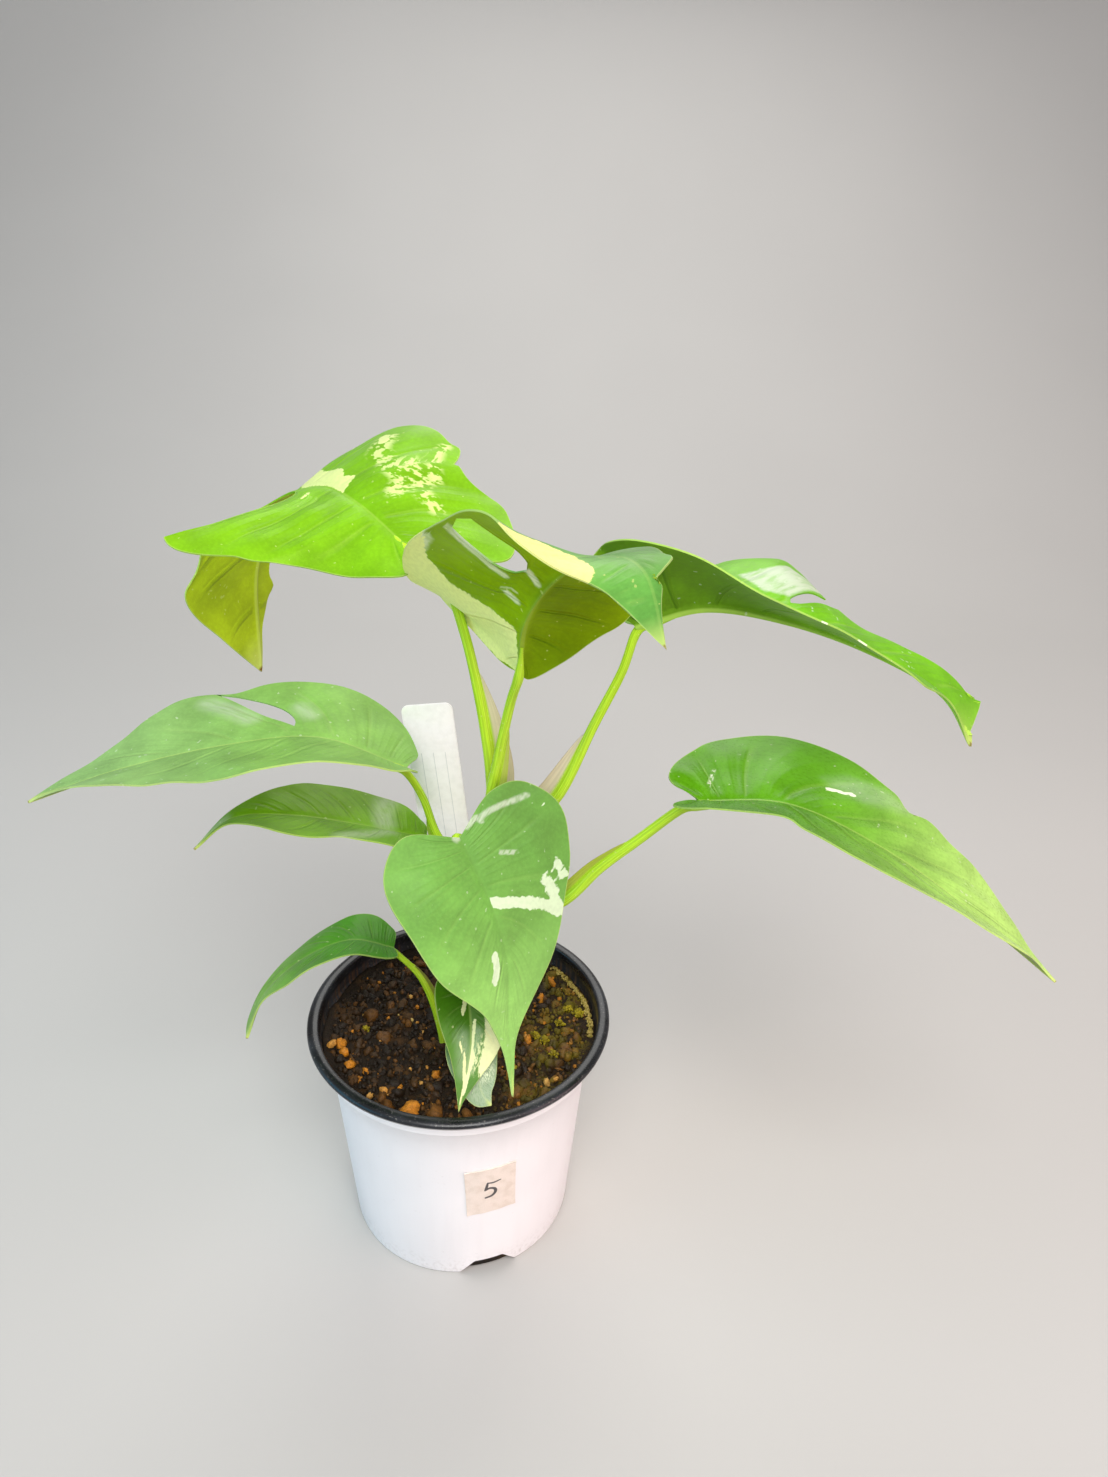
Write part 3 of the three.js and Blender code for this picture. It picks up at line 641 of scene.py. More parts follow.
LEAVES = {
    "leaf_top_left": leaf_shape(
        slot="leaf_lime",
        crowding=1.6,
        rib=[
            (-16, 14, 247), (-31, 29, 254), (-46, 47, 255), (-62, 62, 246), (-75, 64, 222),
            (-75, 57, 186),
        ],
        roll=[-24, -38, -10, -10],
        left=half_shape(
            margin=[
                (-0.08, 8), (0.12, 30), (0.18, 39), (0.31, 54), (0.66, 28), (0.79, 30), (0.9, 16),
            ],
            rise=[-4, 25, 5, 11],
            curl=[-13, 9, -2, -9],
            slits=[(0.56, 0.12, 1, 0.12, 1)],
        ),
        right=half_shape(
            margin=[
                (-0.19, 18), (-0.06, 33), (0.08, 32), (0.25, 38), (0.44, 28), (0.62, 8), (0.8, 7),
            ],
            rise=[0, 0, 10],
            curl=[-22, -25],
            teeth=[
                (0.435, 0.02, 3), (0.408, 0.006, -2), (0.652, 0.013, -9), (0.862, 0.014, 2.5),
                (0.93, 0.03, -1.5),
            ],
        ),
        petiole=[
            (12, 1, 150), (11.4, 1.8, 160), (11, 1.5, 172), (10, 1.5, 185), (7, 4, 203),
            (2.3, 8, 222), (-5, 12, 240),
        ],
        radius=(1.8, 1.3), wing=((1, 0, 0), 0.1, 0.5, 5.5), upper=(117, 176, 16),
        # the light yellow green underside is painted light shining through the blade
        under=(168, 194, 32), pale=(224, 236, 150), sheath=(206, 202, 166), sheen=(1, 1, 0.4),
        gloss=0.34, veins=0.12, line=0.3, quilt=1.5,
        cream=[
            (1, 0, [
                (0.6, 0), (0.41, 0), (0.44, 0.18), (0.473, 0.13), (0.5, 0.2), (0.577, 0.22),
                (0.64, 0.6), (0.68, 0.6),
            ]),
            (-1, 0.8, [(0.494, 0.1), (0.5, 0.17)]), (1, 1.6, [(0.53, 0.7), (0.51, 0.6)]),
        ],
        speckle=[
            (1, 3.4, [(0.523, 0.68), (0.485, 0.47), (0.41, 0.48), (0.347, 0.47), (0.322, 0.32)]),
            (1, 2.4, [(0.418, 0.6), (0.339, 0.57), (0.285, 0.45), (0.23, 0.48)]),
            (1, 2.2, [(0.444, 0.9), (0.427, 0.82), (0.377, 0.75), (0.35, 0.7)]),
        ],
    ),
    "leaf_top_centre": leaf_shape(
        slot="leaf_olive",
        crowding=1.25,
        rib=[
            (20, -11, 217), (22, -19, 236), (30, -30, 252), (41, -42, 261), (49, -58, 262),
            (53, -76, 251),
        ],
        roll=[-28, 0, 10, 47],
        left=half_shape(
            margin=[(0, 4.5), (0.18, 21.5), (0.33, 28), (0.52, 13), (0.74, 6.6), (0.87, 1.5)],
            rise=[7, 10, 23, 4],
            curl=[-8, -12, -8, -12],
            teeth=[(0.74, 0.016, 2), (0.79, 0.02, -2)],
        ),
        right=half_shape(
            margin=[
                (-0.04, 12), (0.01, 43), (0.36, 33), (0.5, 32), (0.63, 26), (0.75, 13), (0.85, 8),
            ],
            rise=[46, 32, -18, -13],
            curl=[-24, -25, 50, -40],
            slits=[(0.445, 0.2, 0.955, 0.115, 0.6)],
        ),
        petiole=[
            (12.5, -1.5, 150), (11.6, -2.6, 160), (11, -3.8, 172), (13.3, -5, 186), (17, -8.5, 206),
        ],
        radius=(1.8, 1.3), wing=((1, 0, 0), 0.08, 0.6, 3), upper=(88, 142, 60), under=(113, 142, 0),
        # painted light: the right half is lighter, its underside and pale parts most, where they
        # lie in shadow
        pale=(232, 226, 140), sheath=(180, 200, 84), shade=(1, 1.22), under_shade=(1, 1.6),
        sheen=(1, 1, 0.3), glow=1.35, gloss=0.3, veins=0.1, line=0.2, quilt=0.7, keel=0.5,
        cream=[
            (1, 0, [
                (0.36, 1.3), (0.36, 0.99), (0.338, 0.8), (0.302, 0.55), (0.258, 0.26),
                (0.225, 0.06), (0, 0), (0, 1.2), (0.05, 1.3), (0.1, 1.3), (0.15, 1.3), (0.2, 1.3),
                (0.25, 1.3), (0.3, 1.3),
            ]),
            (1, 0, [
                (0.58, 0.85), (0.57, 1.15), (0.62, 1.2), (0.68, 1.15), (0.765, 1.1), (0.753, 0.8),
                (0.735, 0.62), (0.7, 0.5), (0.66, 0.4), (0.62, 0.6),
            ]),
        ],
        silver=[
            (1, 1.2, [(0.442, 0.94), (0.436, 0.64), (0.424, 0.42), (0.41, 0.3)]),
            (1, 0.9, [(0.345, 0.23), (0.325, 0.1)]), (1, 0.5, [(0.365, 0.24), (0.35, 0.15)]),
            (1, 0.9, [(0.45, 0.2), (0.425, 0.06)]), (1, 3, [(0.352, 0.98), (0.32, 0.9)]),
        ],
    ),
    "leaf_top_right": leaf_shape(
        slot="leaf_olive",
        rib=[
            (54, 15, 223), (74, 11, 231), (99, 6, 229), (125, 5, 220), (147, 6, 207), (160, 8, 189),
        ],
        roll=[-10, 18, -3, -4],
        left=half_shape(
            margin=[(-0.05, 14), (0.06, 27), (0.38, 40), (0.51, 21), (0.68, 14), (0.9, 11)],
            rise=[6, 3, 12, 50],
            curl=[0, -27, -20, 0],
            slits=[(0.57, 0.4, 1, 0.035, 1)],
            teeth=[(0.905, 0.03, 5), (0.925, 0.01, 5), (0.95, 0.012, -3)],
        ),
        right=half_shape(
            margin=[(-0.1, 18), (0.08, 33), (0.25, 23), (0.42, 20), (0.66, 16), (0.82, 4)],
            rise=[63, 58, 12, 0],
            curl=[0, -30, -20, -14],
        ),
        petiole=[(14, 0, 150), (20.5, 1.5, 159), (32, 2, 170.5), (42, 6, 193), (50, 11, 209)],
        radius=(1.8, 1.3), wing=((-1, 0, 0.5), 0.1, 0.5, 6), upper=(106, 174, 22),
        # the underside darkens towards the base and lightens towards the tip: painted shadow at the
        # base and painted light shining through at the tip
        under=(105, 150, 30), under_tip=(156, 214, 60), pale=(240, 246, 232),
        sheath=(206, 198, 168), sheen=(1, 1, 0.4), gloss=0.33, veins=0.15, line=0.4, quilt=0.6,
        haze=0.9,
        cream=[(1, 0.5, [(0.569, 1.0), (0.565, 0.92)]), (1, 0.4, [(0.615, 1.0), (0.63, 0.98)])],
        silver=[
            (-1, 0, [
                (0.41, 0.5), (0.45, 0.88), (0.5, 1.02), (0.55, 1.02), (0.56, 0.5), (0.5, 0.36),
            ]),
        ],
    ),
    "leaf_mid_left": leaf_shape(
        slot="leaf_matte",
        rib=[(-15, 0, 180), (-41, -1, 190), (-69, -4, 188), (-99, -10, 182), (-127, -14, 172)],
        roll=[9, 0, -2, 10],
        left=half_shape(
            margin=[(-0.02, 10), (0.11, 24), (0.36, 31), (0.59, 23), (0.8, 13), (0.92, 4)],
            rise=[16, 8, 20],
        ),
        right=half_shape(
            margin=[(-0.02, 12), (0.08, 27), (0.34, 30), (0.59, 27), (0.8, 13), (0.94, 5)],
            rise=[12, 10, 14],
            slits=[(0.532, 0.17, 0.98, 0.058, 0)],
            teeth=[(0.505, 0.03, -3.2), (0.6, 0.03, 1.2)],
        ),
        petiole=[(9, 0, 130), (1, 4, 141), (-7, 6, 152), (-11, 4, 167)],
        radius=(1.5, 1.1), wing=((-1, 0, 0), 0.14, 0.5, 2.5), upper=(127, 175, 82),
        upper_tip=(132, 171, 100), under=(120, 150, 84), pale=(226, 236, 214),
        sheath=(150, 180, 60), gloss=0.46, veins=0.07, line=0.4, quilt=0.5, haze=0.5,
        # the grey white strokes beside the slit are painted highlights
        silver=[(1, 2.4, [(0.492, 0.5), (0.488, 0.36)]), (1, 2.8, [(0.572, 0.8), (0.578, 0.4)])],
    ),
    "leaf_inner_left": leaf_shape(
        slot="leaf_matte",
        rib=[(-11, 11, 148), (-34, 7, 155), (-54, 3, 160), (-71, 0, 160), (-83, -5, 151)],
        roll=[10, 6, 4],
        left=half_shape(
            margin=[(0, 9), (0.15, 15), (0.38, 15), (0.6, 14), (0.84, 3)],
            rise=[8, 7, 3],
            curl=[-5, -9],
        ),
        right=half_shape(
            margin=[(0.01, 9), (0.14, 18), (0.41, 20), (0.63, 15), (0.82, 4)],
            rise=[12, 14, 7],
            curl=[-6, -7],
        ),
        petiole=[(6, 0, 118), (-1, 4, 130), (-7, 8, 141)],
        radius=(1.3, 0.9), wing=((-1, 0, 0), 0.15, 0.6, 1.6), upper=(106, 162, 0),
        under=(110, 146, 70), pale=(206, 224, 170), sheath=(150, 180, 60), sheen=(1, 1, 0.3),
        gloss=0.36, veins=0.1, line=0.3, quilt=0.7, haze=0.5,
        silver=[
            (1, 3.5, [(0.36, 0.95), (0.4, 0.5), (0.42, 0.15)]),
            (-1, 2.5, [(0.4, 0.15), (0.45, 0.6), (0.5, 0.95)]), (1, 2, [(0.9, 0.5), (0.99, 0.3)]),
        ],
    ),
    "leaf_front": leaf_shape(
        slot="leaf_matte",
        rib=[(3, -19, 167), (12, -26, 150), (18, -32, 132), (19, -38, 112), (21, -46, 91)],
        roll=[15, 2, 0],
        left=half_shape(
            margin=[
                (-0.1, 14), (-0.07, 26), (0.12, 33), (0.44, 22), (0.64, 11), (0.78, 3), (0.9, 1),
            ],
            rise=[14, 6, 5],
        ),
        right=half_shape(
            margin=[
                (-0.09, 16), (0.02, 27), (0.22, 28), (0.47, 24), (0.65, 11), (0.79, 4), (0.9, 1.5),
            ],
            rise=[3, 7, 6],
            curl=[-14, -11],
        ),
        petiole=[(10, -1, 136), (8, -7, 152), (5.5, -14, 162)],
        radius=(1.5, 1.1), wing=((1, 0, 0.2), 0.2, 0.6, 1.8), upper=(104, 158, 68),
        upper_tip=(148, 202, 104), under=(118, 158, 84), pale=(208, 228, 190),
        # painted light and shade: the right half lighter than the left
        sheath=(150, 180, 60), shade=(0.92, 1.04), gloss=0.4, veins=0.05, line=-0.16, quilt=0.25,
        sink=1.5, haze=0.8,
        cream=[
            (-1, 1.7, [
                (0.508, 0.02), (0.51, 0.12), (0.505, 0.3), (0.497, 0.54), (0.49, 0.75),
                (0.485, 0.97),
            ]),
            (-1, 1.8, [(0.45, 0.7), (0.463, 0.82), (0.478, 0.9), (0.487, 0.93)]),
            (-1, 1.5, [(0.428, 0.83), (0.444, 0.96)]), (-1, 0.3, [(0.31, 0.75), (0.325, 0.97)]),
            (1, 1.4, [(0.613, 0.36), (0.635, 0.46), (0.64, 0.6)]),
        ],
        # these grey white strokes are partly variegation and partly painted sheen
        silver=[
            (-1, 0.7, [(0.351, 0.26), (0.381, 0.4)]),
            (-1, 0.9, [(0.13, 0.56), (0.16, 0.62), (0.2, 0.68), (0.235, 0.75), (0.268, 0.87)]),
            (-1, 0.8, [(0.03, 0.9), (0.09, 0.65), (0.15, 0.45)]),
            (1, 1.2, [(0.02, 0.5), (0.04, 0.2)]),
        ],
    ),
    "leaf_right": leaf_shape(
        slot="leaf_glossy",
        rib=[(75, -6, 175), (103, -7, 175), (131, -20, 167), (159, -29, 150), (185, -30, 129)],
        roll=[-17, -13, -12, -20],
        left=half_shape(
            margin=[
                (-0.07, 11), (0.03, 28), (0.24, 34), (0.5, 26), (0.73, 19), (0.88, 6), (0.95, 2),
            ],
            rise=[28, 20, 24],
            teeth=[(0.492, 0.016, -3.4), (0.44, 0.03, -1.4)],
        ),
        right=half_shape(
            margin=[
                (-0.07, 12), (0.05, 22), (0.3, 28), (0.52, 20), (0.74, 15), (0.88, 5), (0.94, 1.5),
            ],
            rise=[7, 2, 22],
        ),
        petiole=[
            (8, -1, 124), (20, -3, 128), (34.6, -3, 134), (46, -4, 148), (58, -5, 160),
            (69, -6, 171),
        ],
        radius=(2.1, 1.4), wing=((-0.7, 0, 0.7), 0.12, 0.6, 3.6), upper=(84, 146, 12),
        # the light tip is painted light falling on it
        upper_tip=(168, 206, 106), under=(126, 150, 60), pale=(236, 238, 214),
        sheath=(168, 184, 60), gloss=0.26, veins=0.08, line=0.4, quilt=2.25, haze=0.25,
        cream=[(-1, 0.9, [(0.455, 0.5), (0.475, 0.62)])],
        speckle=[(-1, 0.6, [(0.2, 0.3), (0.25, 0.5)])],
        # the grey white area is painted glints and sheen
        silver=[
            (-1, 0, [
                (0.431, 0.6), (0.431, 0.8), (0.46, 0.95), (0.485, 1.05), (0.5, 1), (0.519, 0.8),
                (0.494, 0.62), (0.45, 0.55),
            ]),
        ],
    ),
    "leaf_low_left": leaf_shape(
        slot="leaf_glossy",
        rib=[(-21, -4, 114), (-35, -7, 119), (-50, -11, 114), (-63, -15, 102), (-69, -20, 87)],
        roll=[0, 10, 0],
        left=half_shape(
            margin=[(0, 6), (0.15, 9), (0.45, 12), (0.73, 5), (0.9, 1)],
            rise=[6, 6, 4],
            curl=[-7, -8],
        ),
        right=half_shape(
            margin=[(0, 9), (0.14, 14), (0.44, 12), (0.73, 5), (0.93, 4)],
            rise=[7, 0, 8],
            curl=[-4, -7],
        ),
        petiole=[(-5, -7, 66), (-5.5, -8, 80), (-9, -6, 94), (-13.5, -5, 104)],
        radius=(1.4, 0.9), wing=((1, 0, 0.3), 0.3, 0.75, 1.6), upper=(64, 130, 20),
        upper_tip=(120, 164, 70), under=(112, 150, 64), pale=(220, 230, 170), sheath=(130, 140, 50),
        gloss=0.36, veins=0.08, line=0.25, quilt=0.5,
    ),
    "leaf_low_front": leaf_shape(
        slot="leaf_cream",
        rib=[(4, -20, 116), (6, -27, 109), (7, -34, 101), (6, -40, 93), (4, -46, 84)],
        roll=[0, 0],
        left=half_shape(
            margin=[(-0.02, 7), (0.15, 10), (0.45, 10), (0.74, 4), (0.9, 1)],
            rise=[10, 8, 2],
        ),
        right=half_shape(
            margin=[(-0.02, 8), (0.15, 11), (0.44, 9), (0.74, 4), (0.9, 1.5)],
            rise=[9, 9, 2],
        ),
        petiole=[(-2, -9, 68), (-1.5, -11, 92), (1, -15.5, 108)],
        radius=(1.1, 0.8), wing=((1, 0, 0), 0.3, 0.7, 1), upper=(64, 114, 12),
        upper_tip=(92, 138, 60), under=(110, 150, 84), pale=(232, 236, 176), sheath=(150, 160, 70),
        gloss=0.34, veins=0.1, line=0.4, quilt=0.4, haze=0.4,
        cream=[
            (-1, 0, [
                (0.3, 0.55), (0.36, 0.34), (0.43, 0.32), (0.5, 0.42), (0.58, 0.55), (0.67, 0.8),
                (0.68, 1.2), (0.6, 1.2), (0.5, 1.2), (0.4, 1.2), (0.3, 1.2),
            ]),
            (-1, 0.5, [(0.56, 0.14), (0.66, 0.12), (0.8, 0.1)]),
            (1, 0.5, [(0.6, 0.6), (0.7, 0.5), (0.84, 0.4)]),
            (-1, 0.5, [(0.7, 0.4), (0.8, 0.34), (0.92, 0.3)]), (1, 0.4, [(0.84, 0.2), (0.97, 0.2)]),
            (1, 0.7, [(0.43, 0.12), (0.5, 0.24)]),
        ],
        speckle=[(-1, 2, [(0.6, 0.6), (0.75, 0.5)])],
        silver=[(1, 2, [(0.6, 0.45), (0.8, 0.4)]), (-1, 1.2, [(0.6, 0.3), (0.8, 0.3)])],
    ),
    "leaf_small_front": leaf_shape(
        slot="leaf_cream",
        rib=[(6, -28, 101), (7, -33, 96), (9, -37, 92), (11, -41, 87), (14, -43, 84)],
        roll=[0, 0],
        left=half_shape(
            margin=[(0, 5), (0.2, 9), (0.6, 6), (0.85, 3)],
            rise=[0, 0],
        ),
        right=half_shape(
            margin=[(0, 5), (0.2, 8), (0.6, 7), (0.86, 4)],
            rise=[0, 0],
        ),
        petiole=[(2, -10, 68), (3, -15, 84), (4.5, -23, 97)],
        radius=(1, 0.7), wing=((1, 0, 0), 0.3, 0.7, 0.8), upper=(78, 122, 70),
        under=(150, 176, 130), pale=(222, 234, 196), sheath=(150, 160, 70), gloss=0.34, veins=0.1,
        line=0.3, quilt=0.3, haze=0.5,
        cream=[(1, 1.2, [(0.2, 0.4), (0.35, 0.6)])],
        speckle=[(-1, 3, [(0.4, 0.4), (0.7, 0.4)])],
        silver=[(-1, 5, [(0.55, 0.4), (0.9, 0.4)]), (1, 4, [(0.6, 0.4), (0.9, 0.3)])],
    ),
}

# the numbers of this group are millimetres, or shares of a path or of a midrib
STEM_PATH = [(-4, -6, 48), (-3, -5, 76), (2, -3, 100), (9, -1, 130), (12.5, 0, 147), (13, 0, 156)]
STEM_RADIUS = (3.3, 2.5)
STEM_JOINTS = (0.3, 0.52, 0.72, 0.9)
STEM_GRID = (150, 28)  # steps along the stem and around it

PATCH_REACH = 4.0  # how far around a patch its distance is kept
WHOLE_STROKE = 1.8  # strokes thinner than this radius keep a sharper edge, so that they stay whole
VEINS = 9  # main veins on each half of a blade
ROWS = (1.05, 40, 130)  # rows of a blade for each millimetre, at least and at most
COLUMNS = (0.62, 9, 24)  # columns of half a blade, likewise
COLUMN_CROWDING = 1.25  # columns stand closer near the midrib
GROOVE = (0.3, 1.3)  # depth and width of the groove over the midrib
RIPPLE = (0.35, 3.3)  # height of the ripples along the margin, and their number
WAVE = (0.9, 13)  # height and size of the uneven waves in a blade
RIB_WIDTH = 0.8  # width of the midrib below the blade
STALK_GRID = (90, 18, 5)  # steps along a petiole, around it and along its wing
KNEE = (0.86, 0.035, 0.14)  # where a petiole swells below its blade, how long and how much
SHEATH_GAP = 0.3  # half the thickness of the wing of a sheath


def distance_to_line(point, start, end):
    """Distances of many points from a line between two places, all on one flat sheet."""
    line = end - start
    along = np.clip(((point - start) @ line) / max(line @ line, 1e-9), 0, 1)
    return np.linalg.norm(point - start - along[:, None] * line, axis=1)


def distance_to_patch(point, places, radius):
    """Distance from a stroke or an area; inside it the distance is negative."""
    closed = radius == 0
    ends = np.roll(places, -1, axis=0) if closed else places[1:]
    lines = list(zip(places, ends))
    away = np.min([distance_to_line(point, start, end) for start, end in lines], axis=0)
    if not closed:
        return (away - radius) * max(1, WHOLE_STROKE / radius)
    inside = np.zeros(len(point), bool)
    for start, end in lines:
        spans = (start[1] > point[:, 1]) != (end[1] > point[:, 1])
        rise = end[1] - start[1] or 1e-9
        crossing = (end[0] - start[0]) * (point[:, 1] - start[1]) / rise + start[0]
        inside ^= spans & (point[:, 0] < crossing)
    return np.where(inside, -away, away)


def patch_distance(patches, halves, flat, side_of):
    """The distance of each corner from the nearest of these patches, in millimetres."""
    nearest = np.full(len(flat), PATCH_REACH)
    for side, radius, places in patches:
        half = halves[side]
        vein, outward = np.array(places, float).T
        x, y, _ = half.flat(vein, np.minimum(outward, 1))
        y = y * np.maximum(outward, 1)
        mine = side_of == side
        away = distance_to_patch(flat[mine], np.stack([x, y], 1), radius)
        nearest[mine] = np.minimum(nearest[mine], away)
    return nearest


def rows_through(rows, wanted):
    """Evenly spaced steps from 0 to 1, where the nearest one moves onto each wanted value."""
    steps = np.linspace(0, 1, rows + 1)
    for value in wanted:
        steps[1 + np.argmin(np.abs(steps[1:-1] - value))] = value
    return steps


def slit_grid(piece, veins, columns, halves):
    """Slits the flat grid along the veins that part, and tells the two lips of each slit."""
    count = len(columns) // 2
    make_active(piece)
    bpy.ops.object.mode_set(mode="EDIT")
    for side, half in halves.items():
        for at, start, end, _, _ in half.slits:
            row = int(np.argmin(np.abs(veins - at)))
            level = row / (len(veins) - 1) * 2 - 1

            def in_slit(edge):
                ends = [corner.co for corner in edge.verts]
                if any(abs(co.x - level) > 1e-5 for co in ends):
                    return False
                steps = [round((co.y + 1) * count) for co in ends]
                return all(start <= columns[step] * side <= end + 1e-6 for step in steps)

            select_only(piece, "EDGE", in_slit)
            bpy.ops.mesh.edge_split(type="EDGE")
    bpy.ops.mesh.select_mode(type="VERT")
    bpy.ops.object.mode_set(mode="OBJECT")
    mesh = bmesh.new()
    mesh.from_mesh(piece.data)
    lips = np.array([
        np.sign(round(np.mean([face.calc_center_median().x for face in v.link_faces]) - v.co.x, 6))
        for v in mesh.verts
    ])
    mesh.free()
    return lips


def make_blade(name, leaf, spine, plant, finishes):
    """The blade as a thick sheet with its midrib standing out below."""
    halves = {side: HalfBlade(leaf, spine, side) for side in (-1, 1)}
    width = max(half.reference for half in halves.values())
    rows = int(np.clip(spine.length * ROWS[0], *ROWS[1:]))
    count = int(np.clip(width * COLUMNS[0], *COLUMNS[1:]))
    veins = rows_through(rows, [slit[0] for half in halves.values() for slit in half.slits])
    even = np.linspace(-1, 1, 2 * count + 1)
    columns = np.sign(even) * np.abs(even) ** COLUMN_CROWDING
    for side, half in halves.items():
        for _, start, end, _, _ in half.slits:
            for value in (start, end):
                if value < 1:
                    nearest = np.argmin(np.abs(columns - side * value))
                    columns[nearest] = side * value
    piece = new_grid(name, rows, 2 * count)
    lips = slit_grid(piece, veins, columns, halves)
    row, column = grid_steps(piece, rows, 2 * count)
    vein, across = veins[row], columns[column]
    outward = np.abs(across)
    side_of = np.where(across < 0, -1, 1)
    places = np.empty((len(vein), 3))
    flat = np.empty((len(vein), 2))
    rim = np.empty(len(vein))
    for side, half in halves.items():
        mine = side_of == side
        x, y, edge = half.flat(vein[mine], outward[mine], lips[mine])
        quilt = np.sin(math.pi * VEINS * vein[mine]) ** 2 - 0.5
        fade = np.sin(math.pi * np.clip(outward[mine], 0, 1)) ** 0.7 * soft_step(y, 1, 7)
        groove = np.exp(-((y / GROOVE[1]) ** 2)) * (1 - soft_step(x / spine.length, 0.6, 1))
        ripple = np.sin(TAU * (RIPPLE[1] * vein[mine] + 0.2 * side)) * outward[mine] ** 3
        spots = [Vector((u / WAVE[1], v * side / WAVE[1], 3.7)) for u, v in zip(x, y)]
        waves = np.array([noise.noise(spot) for spot in spots])
        quilted = plant.pucker / MM * leaf["quilt"] * quilt * fade
        loose = (RIPPLE[0] * ripple + WAVE[0] * waves) * soft_step(y, 2, 12)
        lift = quilted - GROOVE[0] * groove + loose
        places[mine] = half.space(x, y, lift)
        flat[mine] = np.stack([x, y], 1)
        rim[mine] = edge
    move_corners(piece, places * MM)
    write_attribute(piece, "veins", np.stack([vein, outward, rim], 1))
    share = np.clip(flat[:, 0] / spine.length, 0, 1)
    write_attribute(piece, "flat", np.stack([flat[:, 0], flat[:, 1] * side_of, share], 1))
    distances = [
        patch_distance(leaf[kind], halves, flat, side_of) for kind in ("cream", "speckle", "silver")
    ]
    write_attribute(piece, "patches", np.stack(distances, 1))
    keel = leaf["keel"]
    thick = keel * np.exp(-((flat[:, 1] / (RIB_WIDTH * keel)) ** 2))
    thick = thick * (1 - 0.75 * soft_step(share, 0.1, 1))
    group = piece.vertex_groups.new(name="thickness")
    for index, weight in enumerate(thick):
        group.add([index], float(weight), "REPLACE")
    edit(piece, weld(), face_outwards)
    turn_up(piece, spine)
    repaint(piece, *finishes)
    modify(
        piece,
        "SOLIDIFY",
        thickness=plant.rib,
        offset=-1,
        vertex_group="thickness",
        thickness_vertex_group=plant.blade / plant.rib,
        use_even_offset=False,
        material_offset=1,
        material_offset_rim=0,
    )
    piece.vertex_groups.clear()
    return piece


def turn_up(piece, spine):
    """Turns the sheet's faces to the upper side of the leaf."""
    centre = np.array([face.center[:] for face in piece.data.polygons]) / MM
    normal = np.array([face.normal[:] for face in piece.data.polygons])
    middle = int(Midrib.SAMPLES * 0.4)
    near = np.argmin(np.linalg.norm(centre - spine.point[middle], axis=1))
    if normal[near] @ spine.up[middle] < 0:
        edit(piece, bpy.ops.mesh.flip_normals)


def petiole_outline(radius, fin):
    """The outline across a petiole: round, with the wing of its sheath on one side."""
    _, sides, fin_steps = STALK_GRID
    opening = math.asin(min(0.9, SHEATH_GAP / radius))
    angles = np.linspace(opening, TAU - opening, sides)
    circle = np.stack([radius * np.cos(angles), radius * np.sin(angles)], 1)
    share = np.arange(1, fin_steps + 1) / fin_steps
    reach = radius * math.cos(opening) + share * fin
    half = SHEATH_GAP * (1 - 0.55 * share)
    curl = 0.06 * (share * fin) ** 2
    below = np.stack([reach, curl - half], 1)
    above = np.stack([reach, curl + half], 1)[::-1]
    return np.vstack([circle, below, above]), np.r_[np.zeros(sides), share, share[::-1]]


def make_petiole(name, leaf, spine):
    """The petiole as a tube that runs on a little way under the midrib."""
    under = []
    for share, depth in ((-0.004, 1.9), (0.045, 1.45), (0.11, 1.2)):
        point, _, up = spine.at(np.array(share * spine.length))
        under.append(tuple(point - depth * leaf["sink"] * up))
    thick, thin = leaf["radius"]
    facing, start, end, width = leaf["wing"]
    steps = STALK_GRID[0]
    path, along = even_path([*leaf["petiole"], *under], steps)
    share = np.linspace(0, 1, steps + 1)
    front = unit(np.array(facing) - (along @ np.array(facing, float))[:, None] * along)
    side = np.cross(along, front)
    knee = KNEE[2] * np.exp(-(((share - KNEE[0]) / KNEE[1]) ** 2))
    radii = (thick + (thin - thick) * share) * (1 - 0.6 * soft_step(share, KNEE[0], 1)) + knee
    along_wing = np.clip((share - start) / (end - start), 0, 1)
    fins = width * np.sin(math.pi * along_wing**0.6) ** 0.8
    outlines = [petiole_outline(radius, fin) for radius, fin in zip(radii, fins)]
    rings = np.array([ring for ring, _ in outlines])
    piece, row, column = tube(name, path, (front, side), rings)
    wing = outlines[0][1][column] * (fins[row] > 0.3)
    write_attribute(piece, "stalk", np.stack([share[row], wing, column / rings.shape[1]], 1))
    edit(piece, weld(0.002), close_ends, face_outwards)
    return piece


# ---------------------------------------------------------------- finishes of the plant

VEIN_LIGHT = linear(206, 226, 120)
TIP_LIGHT = linear(204, 218, 120)
TIP_DRY = linear(120, 82, 40)
MARGIN_LIGHT = linear(206, 222, 130)
SHEEN_LEVEL = {"upper": 0.34, "under": 0.22}


